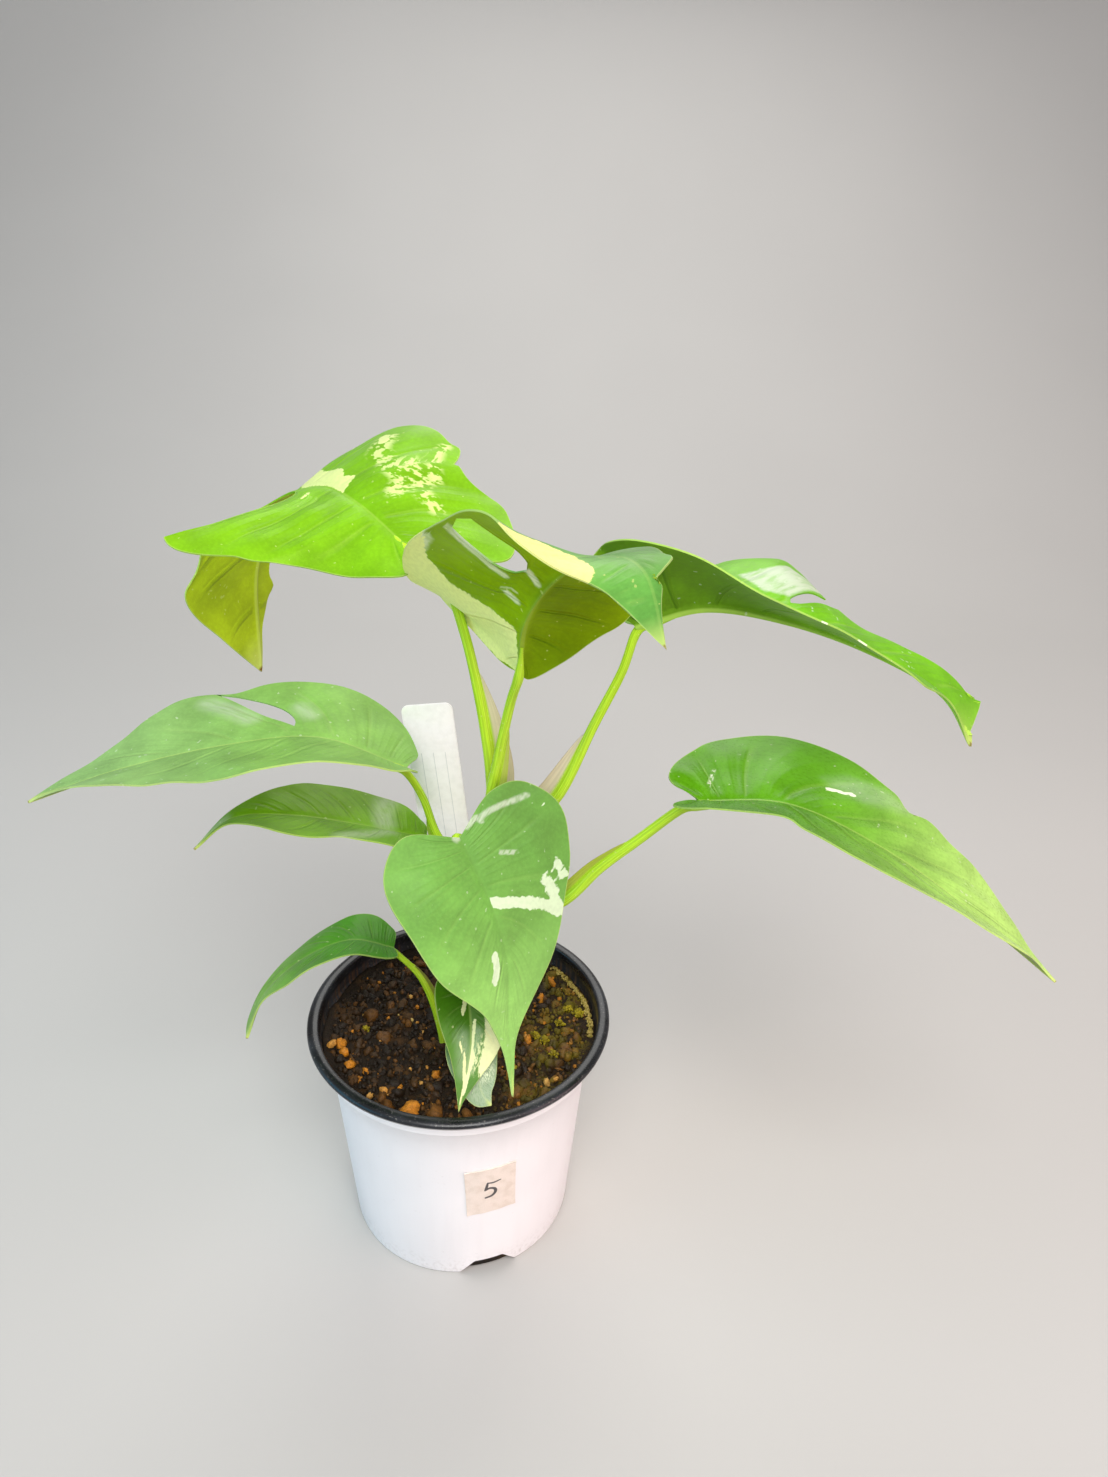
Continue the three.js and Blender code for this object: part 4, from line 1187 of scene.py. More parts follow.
def blade_finish(name, leaf, plant, upper):
    """One side of a blade: green with veins, a light margin, cream or grey white patches, painted
    sheen, and painted light, shade and glow.
    """
    skin = Finish(name)
    face = "upper" if upper else "under"
    base_green = linear(*leaf[face])
    tip_green = linear(*leaf.get(face + "_tip", leaf[face]))
    vein, outward, rim = skin.attribute("veins").parts()
    flat = skin.attribute("flat")
    _, y, share = flat.parts()
    cream, speckle, grey = skin.attribute("patches").parts()
    half = y.math("SIGN", y)
    streak = skin.noise(skin.join(vein * 70.0, outward * 5.0, half), 1.0, 3.0)
    grain = skin.noise(flat, 0.9, 3.0)
    cloud = skin.noise(flat, 0.07, 2.0)
    pores = skin.noise(flat, 3.2, 1.0)

    # main veins, finer veins between them, the midrib and the light margin
    from_vein = ((vein * VEINS).fraction() - 0.5).size() * -1.0 + 0.5
    inner = (1 - outward.step(0.55, 0.98)) * y.size().step(0.8, 3.0)
    main = (1 - from_vein.step(0.015, 0.075)) * inner
    fine = (1 - ((vein * (4 * VEINS)).fraction() - 0.5).size().step(0.0, 0.3)) * inner
    keel = leaf["keel"]
    rib_width = (0.12, 0.55) if upper else (0.4 * keel, 1.0 * keel)
    rib = (1 - y.size().step(*rib_width)) * (1 - outward.step(0.6, 1.0))
    edge = 1 - rim.step(0.05, 0.35)

    # the green from base to tip, uneven, with painted light and shade, and its veins drawn over it
    # painted light and shade: each half of the blade, on each face, made lighter or darker as light
    # falls on it
    shaded_half, lit_half = leaf.get(face + "_shade", leaf["shade"])
    # on some leaves the shift from base to tip is painted: shade at the base, light at the tip
    green = skin.mix(share.step(0.2, 0.85), base_green, tip_green)
    halves = skin.mix(y.step(-1.5, 1.5), (shaded_half,) * 3, (lit_half,) * 3)
    green = skin.tint(green, halves)
    # painted shade in the quilting: darker along the main veins, lighter on the swellings between
    # them
    swell = (from_vein.step(0.0, 0.5) - 0.5) * inner * (0.06 * leaf["quilt"])
    tone = 0.84 + cloud.step(0.3, 0.7) * 0.26 + grain.step(0.35, 0.75) * 0.12 + swell
    fresh = skin.tint(green, skin.join(tone, tone, tone))
    light = tuple(0.5 * g + 0.5 * c for g, c in zip(tip_green, VEIN_LIGHT))
    dark = skin.tint(green, (0.6, 0.66, 0.6))
    line = leaf["line"] if upper else 0.7 * keel
    ribbed = skin.layers(
        fresh,
        (main * leaf["veins"] * (1.0 if upper else 2.5), light if upper else dark),
        (fine * 0.1, dark),
        (rib * abs(line), light if line > 0 else dark),
    )

    # grey white and painted sheen under cream, then the speckles, the light tip and the light
    # margin
    pale = linear(*leaf["pale"])
    silver = tuple(plant.silver)
    # painted glow on the underside: pale parts and grey white made lighter, as if lit through the
    # blade
    if not upper:
        pale = scaled(pale, leaf["glow"])
        bright = scaled(silver, 1.6 * leaf["glow"])
        silver = tuple((lit + warm) / 2 for lit, warm in zip(bright, pale))
    rough_edge = (streak - 0.5) * 1.8 + (grain - 0.5) * 1.4
    cream_mask = 1 - (cream + rough_edge).step(-0.22, 0.22)
    spots = skin.noise(skin.join(vein * 44.0, outward * 12.0, half), 1.0, 2.5, 0.62)
    speckle_mask = (1 - speckle.step(-1.5, 1.5)) * spots.step(0.47, 0.55)
    haze = leaf["haze"]
    blur = 0.9 if haze > 0.6 else 2.6
    brushed = 0.45 + streak.step(0.25, 0.6) * 0.55
    silver_mask = (1 - (grey + rough_edge * 0.8).step(-blur, blur)) * brushed
    stray = skin.noise(flat, 0.55, 1.0).step(0.735, 0.75)
    cream_tone = skin.mix(grain.step(0.3, 0.7), pale, scaled(pale, 0.92))
    base = skin.layers(
        ribbed,
        (silver_mask * haze, silver),
        (cream_mask.most(speckle_mask * 0.85), cream_tone),
        (stray * 0.3, pale),
        ((1 - (1 - vein).step(0.0, 0.08)) * 0.7, TIP_LIGHT),
        (1 - (1 - vein).step(0.005, 0.012), TIP_DRY),
        (edge * 0.4, MARGIN_LIGHT),
    )

    gloss = leaf["gloss"] + (0.0 if upper else 0.14)
    roughness = gloss + (grain - 0.5) * 0.16 + cream_mask * 0.06 + pores * 0.06
    height = main * (-0.5 if upper else 1.2) + fine * 0.2 + pores * 0.12 + cloud * 0.6
    tint = (*leaf["sheen"], 1)
    sheen = {"Specular IOR Level": SHEEN_LEVEL[face], "IOR": 1.42, "Specular Tint": tint}
    return skin.skin(base, roughness, skin.relief(height, 0.3), **sheen)


def petiole_finish(name, leaf, plant):
    """Fleshy green stalk with fine lines, and the pale papery wing of its sheath."""
    skin = Finish(name)
    share, wing, around = skin.attribute("stalk").parts()
    lines = skin.noise(skin.join(around * 34.0, share * 5.0), 1.0, 2.0)
    specks = skin.noise(skin.place(), 900.0, 1.0)
    green = tuple(plant.stalk)
    sheath = linear(*leaf["sheath"])
    papery = skin.mix(lines.step(0.3, 0.75), scaled(sheath, 0.82), sheath)
    base = skin.layers(
        skin.mix(lines.step(0.3, 0.7), scaled(green, 0.86), scaled(green, 1.2)),
        ((1 - share.step(0.0, 0.35)) * 0.4, linear(196, 208, 96)),
        (specks.step(0.7, 0.74) * 0.35, linear(222, 226, 150)),
        (wing.step(0.02, 0.3), papery),
        (wing.step(0.93, 1.0) * 0.35, linear(150, 120, 70)),
    )
    roughness = 0.27 + wing * 0.26 + (lines - 0.5) * 0.14
    normal = skin.relief(lines + specks * 0.3, 0.12)
    sheen = {"Specular IOR Level": 0.45, "Specular Tint": (1, 1, 0.6, 1)}
    return skin.skin(base, roughness, normal, **sheen)


def stem_finish(plant):
    """Green stem, browner towards the soil, with scars at its joints."""
    skin = Finish("stem_skin")
    place = skin.place()
    height = place.part(2)
    lines = skin.noise(skin.stretch(place, (900.0, 900.0, 120.0)), 1.0, 3.0)
    green = tuple(plant.stalk)
    fleshy = skin.mix(lines.step(0.3, 0.7), scaled(green, 0.55), scaled(green, 0.95))
    aged = (1 - height.step(0.078, 0.1)) * lines.step(0.3, 0.6)
    base = skin.mix(aged, fleshy, linear(112, 92, 52))
    return skin.skin(base, 0.42 + (lines - 0.5) * 0.2, skin.relief(lines, 0.2))


# ---------------------------------------------------------------- operators for the plant


class MONSTERA_OT_leaves(Operator):
    """Builds the ten leaves, each a blade with its petiole and the wing of its sheath"""

    bl_idname = "monstera.leaves"
    bl_label = "Leaves"

    def execute(self, context):
        plant = context.scene.monstera_plant
        for node, leaf in LEAVES.items():
            spine = Midrib(leaf["rib"], leaf["roll"])
            name = node + "_grown"
            finishes = [
                blade_finish(node + "_upper", leaf, plant, True),
                blade_finish(node + "_under", leaf, plant, False),
            ]
            blade = make_blade(name, leaf, spine, plant, finishes)
            stalk = make_petiole(node + "_stalk", leaf, spine)
            repaint(stalk, petiole_finish(node + "_stalk", leaf, plant))
            piece = merge(blade, stalk)
            smooth(piece, 50)
            finish_piece(piece, node)
        return {"FINISHED"}


class MONSTERA_OT_stem(Operator):
    """Builds the stem with the rings of its joints"""

    bl_idname = "monstera.stem"
    bl_label = "Stem"

    def execute(self, context):
        steps, sides = STEM_GRID
        path, along = even_path(STEM_PATH, steps)
        share = np.linspace(0, 1, steps + 1)
        swell = sum(np.exp(-(((share - joint) / 0.02) ** 2)) for joint in STEM_JOINTS)
        scar = sum(np.exp(-(((share - joint - 0.012) / 0.004) ** 2)) for joint in STEM_JOINTS)
        low, high = STEM_RADIUS
        radius = low + (high - low) * share + 0.5 * swell - 0.22 * scar
        front = unit(np.array((1, 0, 0)) - along[:, :1] * along)
        angle = TAU * np.arange(sides) / sides
        uneven = 1 + 0.03 * np.sin(3 * angle)[None] * np.sin(9 * share)[:, None]
        reach = radius[:, None] * uneven
        rings = np.stack([reach * np.cos(angle), reach * np.sin(angle)], 2)
        piece, _, _ = tube("stem_grown", path, (front, np.cross(along, front)), rings)
        edit(piece, weld(0.002), close_ends, face_outwards)
        repaint(piece, stem_finish(context.scene.monstera_plant))
        smooth(piece, 50)
        finish_piece(piece, "stem")
        return {"FINISHED"}


# ---------------------------------------------------------------- the pot

STEP_HEIGHT = 77.4
WALL_TAPER = 0.077
WALL_FLARE = 3.7
FLARE_HEIGHT = 58
WALL_LEVELS = (30, 58, 61, 64, 66.5, 69, 71, 73, 74.5, 76, STEP_HEIGHT)
RIM_DROP = 2.6
FLOOR = 1.4
DRAIN_ANGLES = (-71.5, 48.5, 168.5)
DRAIN_SHAPE = {(-1, -1): (-11.5, -1), (1, -1): (11.5, -1), (1, 1): (5, 6.2), (-1, 1): (-5, 6.2)}
DRAIN_DEPTH = 9
DRAIN_ROUNDING = 0.9
POT_SIDES = 160
HOLLOW = (0.7, 24, 26)  # height of the hollow in the foot, and where its edge rises
NECK = 0.7  # how far the wall over the step stands out from it
RIM_START = 50.6  # the plastic is black outside this radius


def wall_radius(height, pot):
    """The outside of the wall at a height, in millimetres: it flares out towards the step."""
    share = min(1, max(0, (height - FLARE_HEIGHT) / (STEP_HEIGHT - FLARE_HEIGHT)))
    return pot.foot_radius / MM + WALL_TAPER * height + WALL_FLARE * share**2.5


def rounded(points, steps=5):
    """An outline with rounded corners; each point is (radius, height, rounding)."""
    result = []
    for index, (x, y, rounding) in enumerate(points):
        corner = np.array((x, y), float)
        if rounding == 0:
            result.append(corner)
            continue
        before = np.array(points[index - 1][:2], float)
        after = np.array(points[index + 1][:2], float)
        start = corner + unit(before - corner) * rounding
        end = corner + unit(after - corner) * rounding
        for share in np.linspace(0, 1, steps):
            rest = 1 - share
            result.append(rest**2 * start + 2 * share * rest * corner + share**2 * end)
    return np.array(result)


def pot_outline(pot):
    """Half of the pot's section, from the axis under the floor round to the axis above it."""
    sizes = (pot.height, pot.rim_radius, pot.foot_radius, pot.wall)
    height, rim, foot, wall = (size / MM for size in sizes)
    step = wall_radius(STEP_HEIGHT, pot)
    neck = step + NECK
    hollow, inner, outer = HOLLOW
    lip = height - RIM_DROP
    outside = [(wall_radius(level, pot), level, 0) for level in WALL_LEVELS[:-1]]
    inside = [(radius - wall, level, 0) for radius, level, _ in reversed(outside)]
    return rounded([
        (0, hollow, 0), (inner, hollow, 0), (outer, 0, 0.5), (foot, 0, 1.2),
        *outside,
        (step, STEP_HEIGHT, 0.25), (step + 0.5, STEP_HEIGHT + 0.35, 0.2), (neck, lip, 0.3),
        (rim - 0.5, lip, 0.2), (rim, lip + 0.45, 0.3), (rim, height - 1.0, 0.8),
        (neck + 0.6, height, 1.2), (neck - 1.6, height - 0.5, 0.7),
        (neck - wall - 0.8, lip - 0.6, 0.6), (step - wall, STEP_HEIGHT, 0.4),
        *inside,
        (wall_radius(FLOOR, pot) - wall, FLOOR, 0.3), (0, FLOOR, 0),
    ])


def pot_finishes(pot):
    """White thermoformed plastic outside, black plastic with dust and soil marks inside."""
    # coordinates are in metres: dirt near the foot, soil below the rim, a light line along its
    # lower edge
    white = Finish("white_pot_plastic")
    place = white.place()
    cloud = white.noise(place, 22.0, 2.0)
    dust = white.noise(place, 700.0, 3.0)
    drawn = white.noise(white.stretch(place, (260.0, 260.0, 14.0)), 1.0, 2.0)
    outside = tuple(pot.outside)
    low = (1 - place.part(2).step(0.0, 0.012)) * dust.step(0.45, 0.7)
    scuffed = white.layers(
        white.mix(cloud.step(0.3, 0.7), scaled(outside, 0.94), outside),
        (drawn.step(0.45, 0.75) * 0.05, linear(200, 192, 190)),
        (low * 0.22 + dust.step(0.68, 0.74) * 0.09, linear(150, 138, 122)),
    )
    normal = white.relief(drawn * 0.6 + dust * 0.1 + cloud * 2.0, 0.12)
    white.skin(scuffed, 0.36 + (cloud - 0.5) * 0.16 + dust * 0.08, normal)

    black = Finish("black_pot_plastic")
    place = black.place()
    x, y, height = place.parts()
    cloud = black.noise(place, 60.0, 3.0)
    fine = black.noise(place, 1500.0, 2.0)
    around = y.math("ARCTAN2", y, x)
    runs = black.noise(black.join(around * 26.0, height * 26.0), 1.0, 3.0)
    below_rim = 1 - height.step(0.0795, 0.082)
    radial = black.node(
        "VectorMath", {"operation": "LENGTH"}, {0: black.stretch(place, (1.0, 1.0, 0.0))}, "Value"
    )
    lower_edge = radial.step(0.0512, 0.0516) * (1 - height.step(0.083, 0.0834))
    edged = black.layers(
        tuple(pot.inside),
        (cloud.step(0.4, 0.75) * 0.5, linear(58, 62, 70)),
        (fine.step(0.6, 0.72) * cloud.step(0.35, 0.6) * 0.4, linear(150, 146, 140)),
        (runs.step(0.46, 0.62) * below_rim, linear(74, 52, 34)),
        (lower_edge * (0.4 + cloud * 0.8), linear(206, 202, 200)),
    )
    roughness = 0.16 + cloud * 0.2 + below_rim * 0.4 + fine * 0.06
    black.skin(edged, roughness, black.relief(cloud * 1.5 + fine * 0.15, 0.1))
    return white.material, black.material


class MONSTERA_OT_pot(Operator):
    """Turns the pot from its section and cuts the drain openings"""

    bl_idname = "monstera.pot"
    bl_label = "Pot"

    def execute(self, context):
        pot = context.scene.monstera_pot
        outline = pot_outline(pot)
        circle = {"vertices": len(outline), "radius": 0.1, "fill_type": "NOTHING"}
        piece = added(bpy.ops.mesh.primitive_circle_add, "nursery_pot", **circle)
        move_corners(piece, np.stack([outline[:, 0], 0 * outline[:, 0], outline[:, 1]], 1) * MM)
        self.open_outline(piece, len(outline))
        edit(
            piece,
            lambda: bpy.ops.mesh.spin(
                steps=POT_SIDES, angle=TAU, center=(0, 0, 0), axis=(0, 0, 1), use_auto_merge=True
            ),
            lambda: bpy.ops.mesh.select_all(action="SELECT"),
            weld(),
            face_outwards,
        )
        for angle in DRAIN_ANGLES:
            self.cut_drain(piece, angle, pot)
        repaint(piece, *pot_finishes(pot))
        self.paint_faces(piece, pot)
        smooth(piece, 35)
        finish_piece(piece, "pot")
        return {"FINISHED"}

    @staticmethod
    def open_outline(piece, count):
        """Takes out the edge that closes the circle between its last and first corner."""
        mesh = bmesh.new()
        mesh.from_mesh(piece.data)
        for edge in list(mesh.edges):
            if {corner.index for corner in edge.verts} == {0, count - 1}:
                mesh.edges.remove(edge)
        mesh.to_mesh(piece.data)
        mesh.free()

    @staticmethod
    def cut_drain(piece, degrees, pot):
        """Cuts one opening where the wall meets the floor."""
        cutter = added(bpy.ops.mesh.primitive_cube_add, "drain_cutter", size=1)
        middle = pot.foot_radius / MM
        places = []
        for corner in corner_places(cutter):
            wide = DRAIN_SHAPE[int(np.sign(corner[1])), int(np.sign(corner[2]))]
            places.append((middle + DRAIN_DEPTH * corner[0], *wide))
        turn = Matrix.Rotation(math.radians(degrees), 3, "Z")
        move_corners(cutter, np.array([turn @ Vector(place) for place in places]) * MM)
        modify(cutter, "BEVEL", width=DRAIN_ROUNDING * MM, segments=4, limit_method="ANGLE")
        modify(piece, "BOOLEAN", object=cutter, operation="DIFFERENCE", solver="EXACT")
        bpy.data.objects.remove(cutter)

    @staticmethod
    def paint_faces(piece, pot):
        """The outer face of wall and floor is white, everything else black."""
        wall = pot.wall / MM
        lip = pot.height / MM - RIM_DROP
        for face in piece.data.polygons:
            x, y, z = face.center / MM
            radius = math.hypot(x, y)
            on_wall = radius > wall_radius(min(z, STEP_HEIGHT), pot) - 0.3 * wall and z < lip + 0.05
            on_floor = z < 0.5 * FLOOR + 0.1 and face.normal.z < -0.5
            face.material_index = 0 if (on_wall and radius < RIM_START) or on_floor else 1


# ---------------------------------------------------------------- the potting mix

SOIL_SEED = 4
SOIL_SIDES = 260
TOP_ROWS, WALL_ROWS, SOIL_ROWS = 78, 90, 96  # the filling's rings end here: top, side, bottom
CRUMB_LOT = (46, (0.3, 1.5, 0.4))  # how far out crumbs lie; their smallest, largest, usual size
CLOD_LOT = (44, (1.0, 2.9, 1.3))
GRIT_LOT = (150, 44)  # how many grains lie how far out
FIBRE_LOT = (50, 42)
FIBRE_SHAPE = (1, 0.22, 0.18)
ALGAE_LOT = (300, (-4, 46), (44.8, 46.8, 46.4))  # how many, on which arc, how far out
MOULDS = 5  # uneven stones of each fineness
MOSS_DENSITY = 34  # moss crumbs for each millimetre of a bed's reach
MOSS_LIMIT = 46.5  # moss stays within this distance of the pot's axis
SURFACE = (16, 4.2, 1.7)  # sizes of the hills, lumps and crumbs in the surface, in millimetres
ORANGE_GRAINS = [
    (-40, -11, 2.6), (-38, -15, 2.2), (-43, -11, 1.8), (-29, -23, 1.7), (-6, -23, 1.8),
    (-12, -39, 3.4), (-17, -29, 1.6), (-22, -31, 1.8), (24, -5, 1.8), (34, -23, 1.5),
    (31, -25, 1.6), (32, 25, 2.4), (28, 16, 1.8), (-35, -20, 2), (-26, -33, 1.6),
]
BROWN_GRAINS = [(-4, -41, 3.8), (6, -40, 2.2), (-20, -38, 2.4), (38, -14, 2.2), (-32, 4, 2.6)]
MOSS_BEDS = [
    (27, -3, 2.4), (30, -5, 2), (41, 28, 3), (44, 17, 2.2), (38, 11, 2), (42, 9, 2.2),
    (33, -12, 1.8), (20, -20, 1.6), (35, 3, 1.6), (-33, -2, 1.4), (-14, 20, 2.2),
]


def soil_height(x, y, level):
    """Lumpy surface of the mix, in millimetres."""
    hill, lump, crumb = SURFACE
    broad = noise.fractal(Vector((x / hill, y / hill, 3)), 1.0, 2.0, 3)
    lumps = noise.voronoi(Vector((x / lump, y / lump, 0)))[0][0]
    crumbs = noise.voronoi(Vector((x / crumb, y / crumb, 5)))[0][0]
    return level - 0.4 + 1.2 * broad + 1.5 * (0.45 - lumps) + 0.7 * (0.5 - crumbs)


def soil_body(soil, pot):
    """The filling as one closed body with a lumpy top."""
    piece = new_grid("potting_mix", SOIL_ROWS, SOIL_SIDES)
    row, column = grid_steps(piece, SOIL_ROWS, SOIL_SIDES)
    level = soil.level / MM
    bottom = FLOOR + 0.3
    top_radius = wall_radius(level, pot) - pot.wall / MM - 0.15
    low_radius = wall_radius(bottom, pot) - pot.wall / MM - 0.3
    places = np.empty((len(row), 3))
    for index, (step, turn) in enumerate(zip(row, column)):
        angle = TAU * (turn % SOIL_SIDES) / SOIL_SIDES
        if step <= TOP_ROWS:
            radius = top_radius * step / TOP_ROWS
            x, y = polar(radius, angle)
            rise = 2.2 * soft_step(np.float64(radius), top_radius - 5, top_radius)
            uneven = 0.5 + 0.5 * noise.noise(Vector((x / 7, y / 7, 9)))
            z = soil_height(x, y, level) + rise * uneven
        elif step <= WALL_ROWS:
            down = (step - TOP_ROWS) / (WALL_ROWS - TOP_ROWS)
            z = level - 2 + (bottom - level + 2) * down**1.6
            x, y = polar(wall_radius(z, pot) - pot.wall / MM - 0.3, angle)
        else:
            z = bottom
            x, y = polar(low_radius * (SOIL_ROWS - step) / (SOIL_ROWS - WALL_ROWS), angle)
        places[index] = (x, y, z)
    move_corners(piece, places * MM)
    write_attribute(piece, "tint", np.zeros(len(row)))
    edit(piece, weld(0.004), face_outwards)
    return piece


class Crumbs:
    """Many small stones gathered into one mesh."""

    def __init__(self, seed):
        self.random = random.Random(seed)
        self.moulds = {}
        self.corners, self.faces, self.tints = [], [], []
        self.count = 0

    def mould(self, detail, kind):
        """One of a few uneven stones that all others are copied from."""
        if (detail, kind) not in self.moulds:
            ball = {"subdivisions": detail, "radius": 1}
            stone = added(bpy.ops.mesh.primitive_ico_sphere_add, "mould", **ball)
            places = corner_places(stone)
            bumps = [
                1 + 0.5 * noise.noise(Vector(place) * 1.4 + Vector((kind * 5.1, 0, 0)))
                + 0.4 * noise.noise(Vector(place) * 3.6 + Vector((kind * 5.1, 9, 0)))
                for place in places
            ]
            faces = [tuple(face.vertices) for face in stone.data.polygons]
            self.moulds[detail, kind] = (places * np.array(bumps)[:, None], faces)
            bpy.data.objects.remove(stone)
        return self.moulds[detail, kind]

    def add(self, place, size, tint, detail=1, shape=None):
        draw = self.random
        corners, faces = self.mould(detail, draw.randrange(MOULDS))
        turn = Euler([draw.uniform(0, TAU) for _ in range(3)]).to_matrix()
        shape = shape or (1, draw.uniform(0.6, 1), draw.uniform(0.55, 0.9))
        moved = (corners * shape * size) @ np.array(turn).T + place
        self.faces += [tuple(index + self.count for index in face) for face in faces]
        self.corners.append(moved)
        self.tints += [tint] * len(moved)
        self.count += len(moved)

    def gather(self, name):
        """Makes one piece of all stones."""
        mesh = bpy.data.meshes.new(name)
        mesh.from_pydata((np.vstack(self.corners) * MM).tolist(), [], self.faces)
        piece = bpy.data.objects.new(name, mesh)
        bpy.context.collection.objects.link(piece)
        write_attribute(piece, "tint", self.tints)
        return piece


def soil_finishes(soil):
    """Dark peat, and the ramp of crumb colours from peat over bark to grit and moss."""
    peat, bark, grit, moss = (tuple(c) for c in (soil.peat, soil.bark, soil.grit, soil.moss))
    ground = Finish("peat_mix")
    place = ground.place()
    broad = ground.noise(place, 90.0, 3.0)
    fine = ground.noise(place, 900.0, 4.0, 0.7)
    x = place.part(0)
    green = (x - 0.012).step(0.0, 0.02) * broad.step(0.46, 0.6) * fine.step(0.4, 0.6)
    dark = ground.layers(
        ground.mix(fine.step(0.35, 0.7), scaled(peat, 0.45), scaled(peat, 1.3)),
        (broad.step(0.5, 0.7) * 0.7, scaled(bark, 0.75)),
        (green * 0.7, scaled(moss, 0.7)),
        # darker towards the left side
        ((1 - x.step(-0.03, 0.03)) * 0.6, scaled(peat, 0.3)),
    )
    normal = ground.relief(fine * 1.5 + broad, 0.5)
    ground.skin(dark, 0.72 + (fine - 0.5) * 0.4, normal, **{"Specular IOR Level": 0.25})

    crumb = Finish("crumbs_and_grit")
    place = crumb.place()
    tint = crumb.number("tint")
    fine = crumb.noise(place, 1100.0, 4.0, 0.7)
    wet = crumb.noise(place, 120.0, 2.0)
    colours = crumb.ramp(tint, [
        (0.0, scaled(peat, 0.6)), (0.25, peat), (0.5, bark), (0.64, scaled(grit, 0.6)),
        (0.78, grit), (0.86, linear(226, 196, 120)), (0.93, moss), (1.0, scaled(moss, 1.9)),
    ])
    x = place.part(0)
    loose = 1 - tint.step(0.6, 0.66)
    green = (x - 0.004).step(0.0, 0.03) * wet.step(0.4, 0.6) * loose
    tone = crumb.layers(
        colours,
        (fine.step(0.3, 0.75) * (0.6 - tint.step(0.86, 0.9) * 0.45), scaled(peat, 0.9)),
        (green * 0.75, scaled(moss, 0.65)),
        # darker towards the left side
        ((1 - x.step(-0.03, 0.03)) * 0.6 * loose, scaled(peat, 0.25)),
    )
    normal = crumb.relief(fine, 0.35)
    crumb.skin(tone, 0.5 + (wet - 0.5) * 0.7 + fine * 0.1, normal, **{"Specular IOR Level": 0.3})
    return ground.material, crumb.material


class MONSTERA_OT_soil(Operator):
    """Fills the pot with mix and strews crumbs, grains, fibres and moss over it"""

    bl_idname = "monstera.soil"
    bl_label = "Potting mix"

    def execute(self, context):
        soil, pot = context.scene.monstera_soil, context.scene.monstera_pot
        level = soil.level / MM
        ground, crumb = soil_finishes(soil)
        body = soil_body(soil, pot)
        repaint(body, ground)
        crumbs = Crumbs(SOIL_SEED)
        draw = crumbs.random

        def lay(x, y, size, tint, sunk=0.1, **shape):
            crumbs.add((x, y, soil_height(x, y, level) + sunk * size), size, tint, **shape)

        def strewn(reach):
            """A random place within this distance of the pot's axis."""
            angle = draw.uniform(0, TAU)
            return polar(reach * math.sqrt(draw.random()), angle)

        for number in range(soil.crumbs + soil.clods):
            clod = number >= soil.crumbs
            reach, sizes = CLOD_LOT if clod else CRUMB_LOT
            x, y = strewn(reach)
            size = draw.triangular(*sizes)
            tint = 0.27 + 0.55 * noise.noise(Vector((x / 4.5, y / 4.5, 2))) + draw.gauss(0, 0.1)
            lay(x, y, size, min(0.6, max(0, tint)), -0.1 if clod else 0.1, detail=1 + clod)
        for _ in range(GRIT_LOT[0]):
            place = strewn(GRIT_LOT[1])
            lay(*place, draw.uniform(0.5, 1.1), draw.uniform(0.62, 0.86))
        for _ in range(FIBRE_LOT[0]):
            place = strewn(FIBRE_LOT[1])
            lay(*place, draw.uniform(1.6, 3.4), draw.uniform(0.4, 0.6), 0.25, shape=FIBRE_SHAPE)
        for x, y, size in ORANGE_GRAINS:
            lay(x, y, size, draw.uniform(0.72, 0.82), 0.3, detail=2)
        for x, y, size in BROWN_GRAINS:
            lay(x, y, size, draw.uniform(0.52, 0.6), 0.25, detail=2)
        for x, y, reach in MOSS_BEDS:
            for _ in range(int(MOSS_DENSITY * reach)):
                off_x, off_y = draw.gauss(0, reach / 2.6), draw.gauss(0, reach / 2.6)
                raised = 1 + 1.6 * math.exp(-((math.hypot(off_x, off_y) / (0.6 * reach)) ** 2))
                if math.hypot(x + off_x, y + off_y) < MOSS_LIMIT:
                    size, tint = draw.uniform(0.3, 0.65), draw.uniform(0.92, 1)
                    lay(x + off_x, y + off_y, size, tint, raised)
        count, arc, reach = ALGAE_LOT
        for _ in range(count):
            angle = math.radians(draw.uniform(*arc))
            place = polar(draw.triangular(*reach), angle)
            lay(*place, 0.55, draw.uniform(0.89, 0.92), 2)
        loose = crumbs.gather("crumbs")
        repaint(loose, crumb)
        smooth(loose)
        smooth(body)
        finish_piece(merge(body, loose), "soil")
        return {"FINISHED"}


# ---------------------------------------------------------------- label and sticker

LABEL_FOOT = (4.2, 27, 40)
LABEL_LEAN = -6.3
LABEL_POINT = 16
LABEL_THICKNESS = 0.7
LABEL_ROUNDING = (2.5, 0.14)  # of its corners and of its edges
RULED = (4.0, 6.4, 132.0)  # distance between the ruled lines; their reach across and up
STICKER_SIZE = (17, 22)
STICKER_ANGLE = -71.5
STICKER_MIDDLE = 44
STICKER_TURN = -2
STICKER_THICKNESS = 0.34
STICKER_LIFT = 0.42  # the outside of the paper over the wall, in millimetres
PEN_STEPS = 24
NUMBER_STROKES = [
    ([(-1.1, 4.2), (0.9, 3.9), (3.2, 4.4)], 0.32),
    ([(-1.1, 4.2), (-1.5, 2.2), (-2.0, 0.7)], 0.42),
    ([(-2.0, 0.7), (-0.4, 1.4), (1.2, 0.6), (1.4, -1.2), (0.2, -2.6), (-1.9, -3.2)], 0.5),
]


